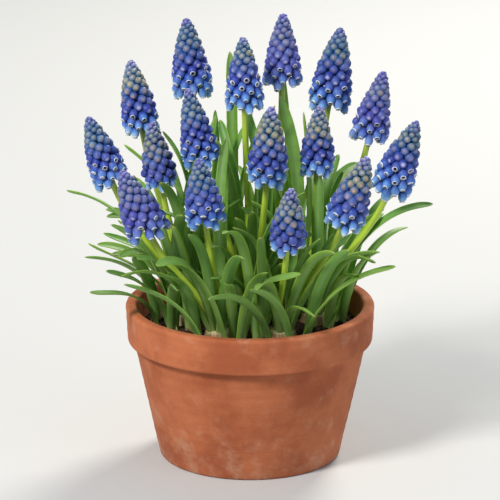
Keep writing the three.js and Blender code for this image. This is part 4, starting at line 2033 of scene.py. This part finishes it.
@dataclass
class Studio:
    """A plain pale floor, soft lights and the camera.

    Attributes:
        lights: each light's place, size, power and colour, in metres and watts.
        floor: the floor's colour.
        floor_half: half of the floor's width.
        sky: the colour of the light from all round.
        sky_strength: its strength.
        elevation: the camera's height over the horizon, in degrees.
        distance: from the camera to what it aims at.
        shown: the width and height of what the square picture shows at that distance.
        aim: what it aims at.
    """

    lights: dict = field(default_factory=lambda: {
        "key": ((-0.95, -1.1, 1.45), 0.5, 42.0, "#fffaf2"),
        "fill": ((1.4, -0.9, 0.7), 1.2, 6.0, "#eaf2ff"),
        "back": ((0.6, 1.25, 1.3), 0.6, 34.0, "#fffaee"),
    })
    floor: str = "#bdbebf"
    floor_half: float = 6.0
    sky: str = "#dfe8f2"
    sky_strength: float = 0.42
    elevation: float = 17.0
    distance: float = 2.0
    shown: float = 0.28
    aim: tuple = (0.0, 0.0, 0.1185)

    def place_camera(self) -> None:
        """Places the camera on the photograph's side, with a long lens."""
        data = bpy.data.cameras.new("camera")
        data.lens = data.sensor_width * self.distance / self.shown
        data.clip_end = 30
        made = bpy.data.objects.new("camera", data)
        rise = math.radians(self.elevation)
        back = Vector((0, -math.cos(rise), math.sin(rise)))
        made.location = Vector(self.aim) + back * self.distance
        made.rotation_euler = (-back).to_track_quat("-Z", "Y").to_euler()
        bpy.context.scene.collection.objects.link(made)
        bpy.context.scene.camera = made

    def hang_lights(self) -> None:
        """Hangs the soft boxes, each turned to what the camera aims at."""
        for name, (place, size, power, colour) in self.lights.items():
            data = bpy.data.lights.new(name, "AREA")
            data.shape = "DISK"
            data.size = size
            data.energy = power
            data.color = linear(colour)[:3]
            made = bpy.data.objects.new(name, data)
            made.location = place
            made.rotation_euler = (Vector(self.aim) - Vector(place)).to_track_quat("-Z", "Y").to_euler()
            bpy.context.scene.collection.objects.link(made)

    def light_sky(self) -> None:
        """Lights the scene evenly from all round, and shows colours as they are."""
        world = bpy.data.worlds.new("sky")
        world.use_nodes = True
        background = world.node_tree.nodes["Background"]
        background.inputs["Color"].default_value = linear(self.sky)
        background.inputs["Strength"].default_value = self.sky_strength
        bpy.context.scene.world = world
        view = bpy.context.scene.view_settings
        view.view_transform = "Standard"
        view.look = "None"

    def lay_floor(self) -> None:
        """Lays a matt paper floor."""
        half = self.floor_half
        corners = [(-half, -half, 0), (half, -half, 0), (half, half, 0), (-half, half, 0)]
        mesh = bpy.data.meshes.new("floor")
        mesh.from_pydata(corners, [], [(0, 1, 2, 3)])
        matt = bpy.data.materials.new("matt_paper")
        matt.use_nodes = True
        shader = matt.node_tree.nodes["Principled BSDF"]
        shader.inputs["Base Color"].default_value = linear(self.floor)
        shader.inputs["Roughness"].default_value = 0.95
        mesh.materials.append(matt)
        floor = bpy.data.objects.new("floor", mesh)
        bpy.context.scene.collection.objects.link(floor)

    def build(self) -> None:
        """Sets everything up."""
        self.place_camera()
        self.hang_lights()
        self.light_sky()
        self.lay_floor()


STAGES = (
    Stage.VIOLET, Stage.BLUE, Stage.YOUNG, Stage.OLIVE, Stage.BLUE, Stage.OLIVE, Stage.YOUNG, Stage.FULL,
    Stage.VIOLET, Stage.OLIVE, Stage.BLUE, Stage.OLIVE, Stage.FULL, Stage.BLUE, Stage.VIOLET, Stage.BLUE,
)
PLANTS = ("middle", "right", "back_right", "back_left", "left", "front_left", "front_right")
LARGE_LEAVES = 19
SMALL_LEAVES = 19


def main() -> None:
    """Builds the pot, the compost, the bulbs, the flowers and the leaves, and sets up the studio."""
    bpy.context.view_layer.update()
    Studio().build()
    rng = np.random.default_rng(SEED)
    solid = [ClayPan().build()]
    bulbs = [Bulb(plant) for plant in PLANTS]
    centres = np.array([bulb.centre() for bulb in bulbs])
    Peat().build(rng, centres)
    for bulb in bulbs:
        bulb.build()
    racemes = [Raceme(number, stage) for number, stage in enumerate(STAGES, 1)]
    for raceme in racemes:
        solid.append(FlowerStalk(raceme.number).build(rng))
        solid.append(raceme.build(rng))
    foliage = Foliage(rng, [raceme.axis() for raceme in racemes])
    foliage.keep_off(solid)
    foliage.large(LARGE_LEAVES)
    for plant, centre in zip(PLANTS, centres):
        foliage.small(plant, centre, SMALL_LEAVES)


if __name__ == "__main__":
    logging.basicConfig(level=logging.INFO, format="%(message)s")
    main()
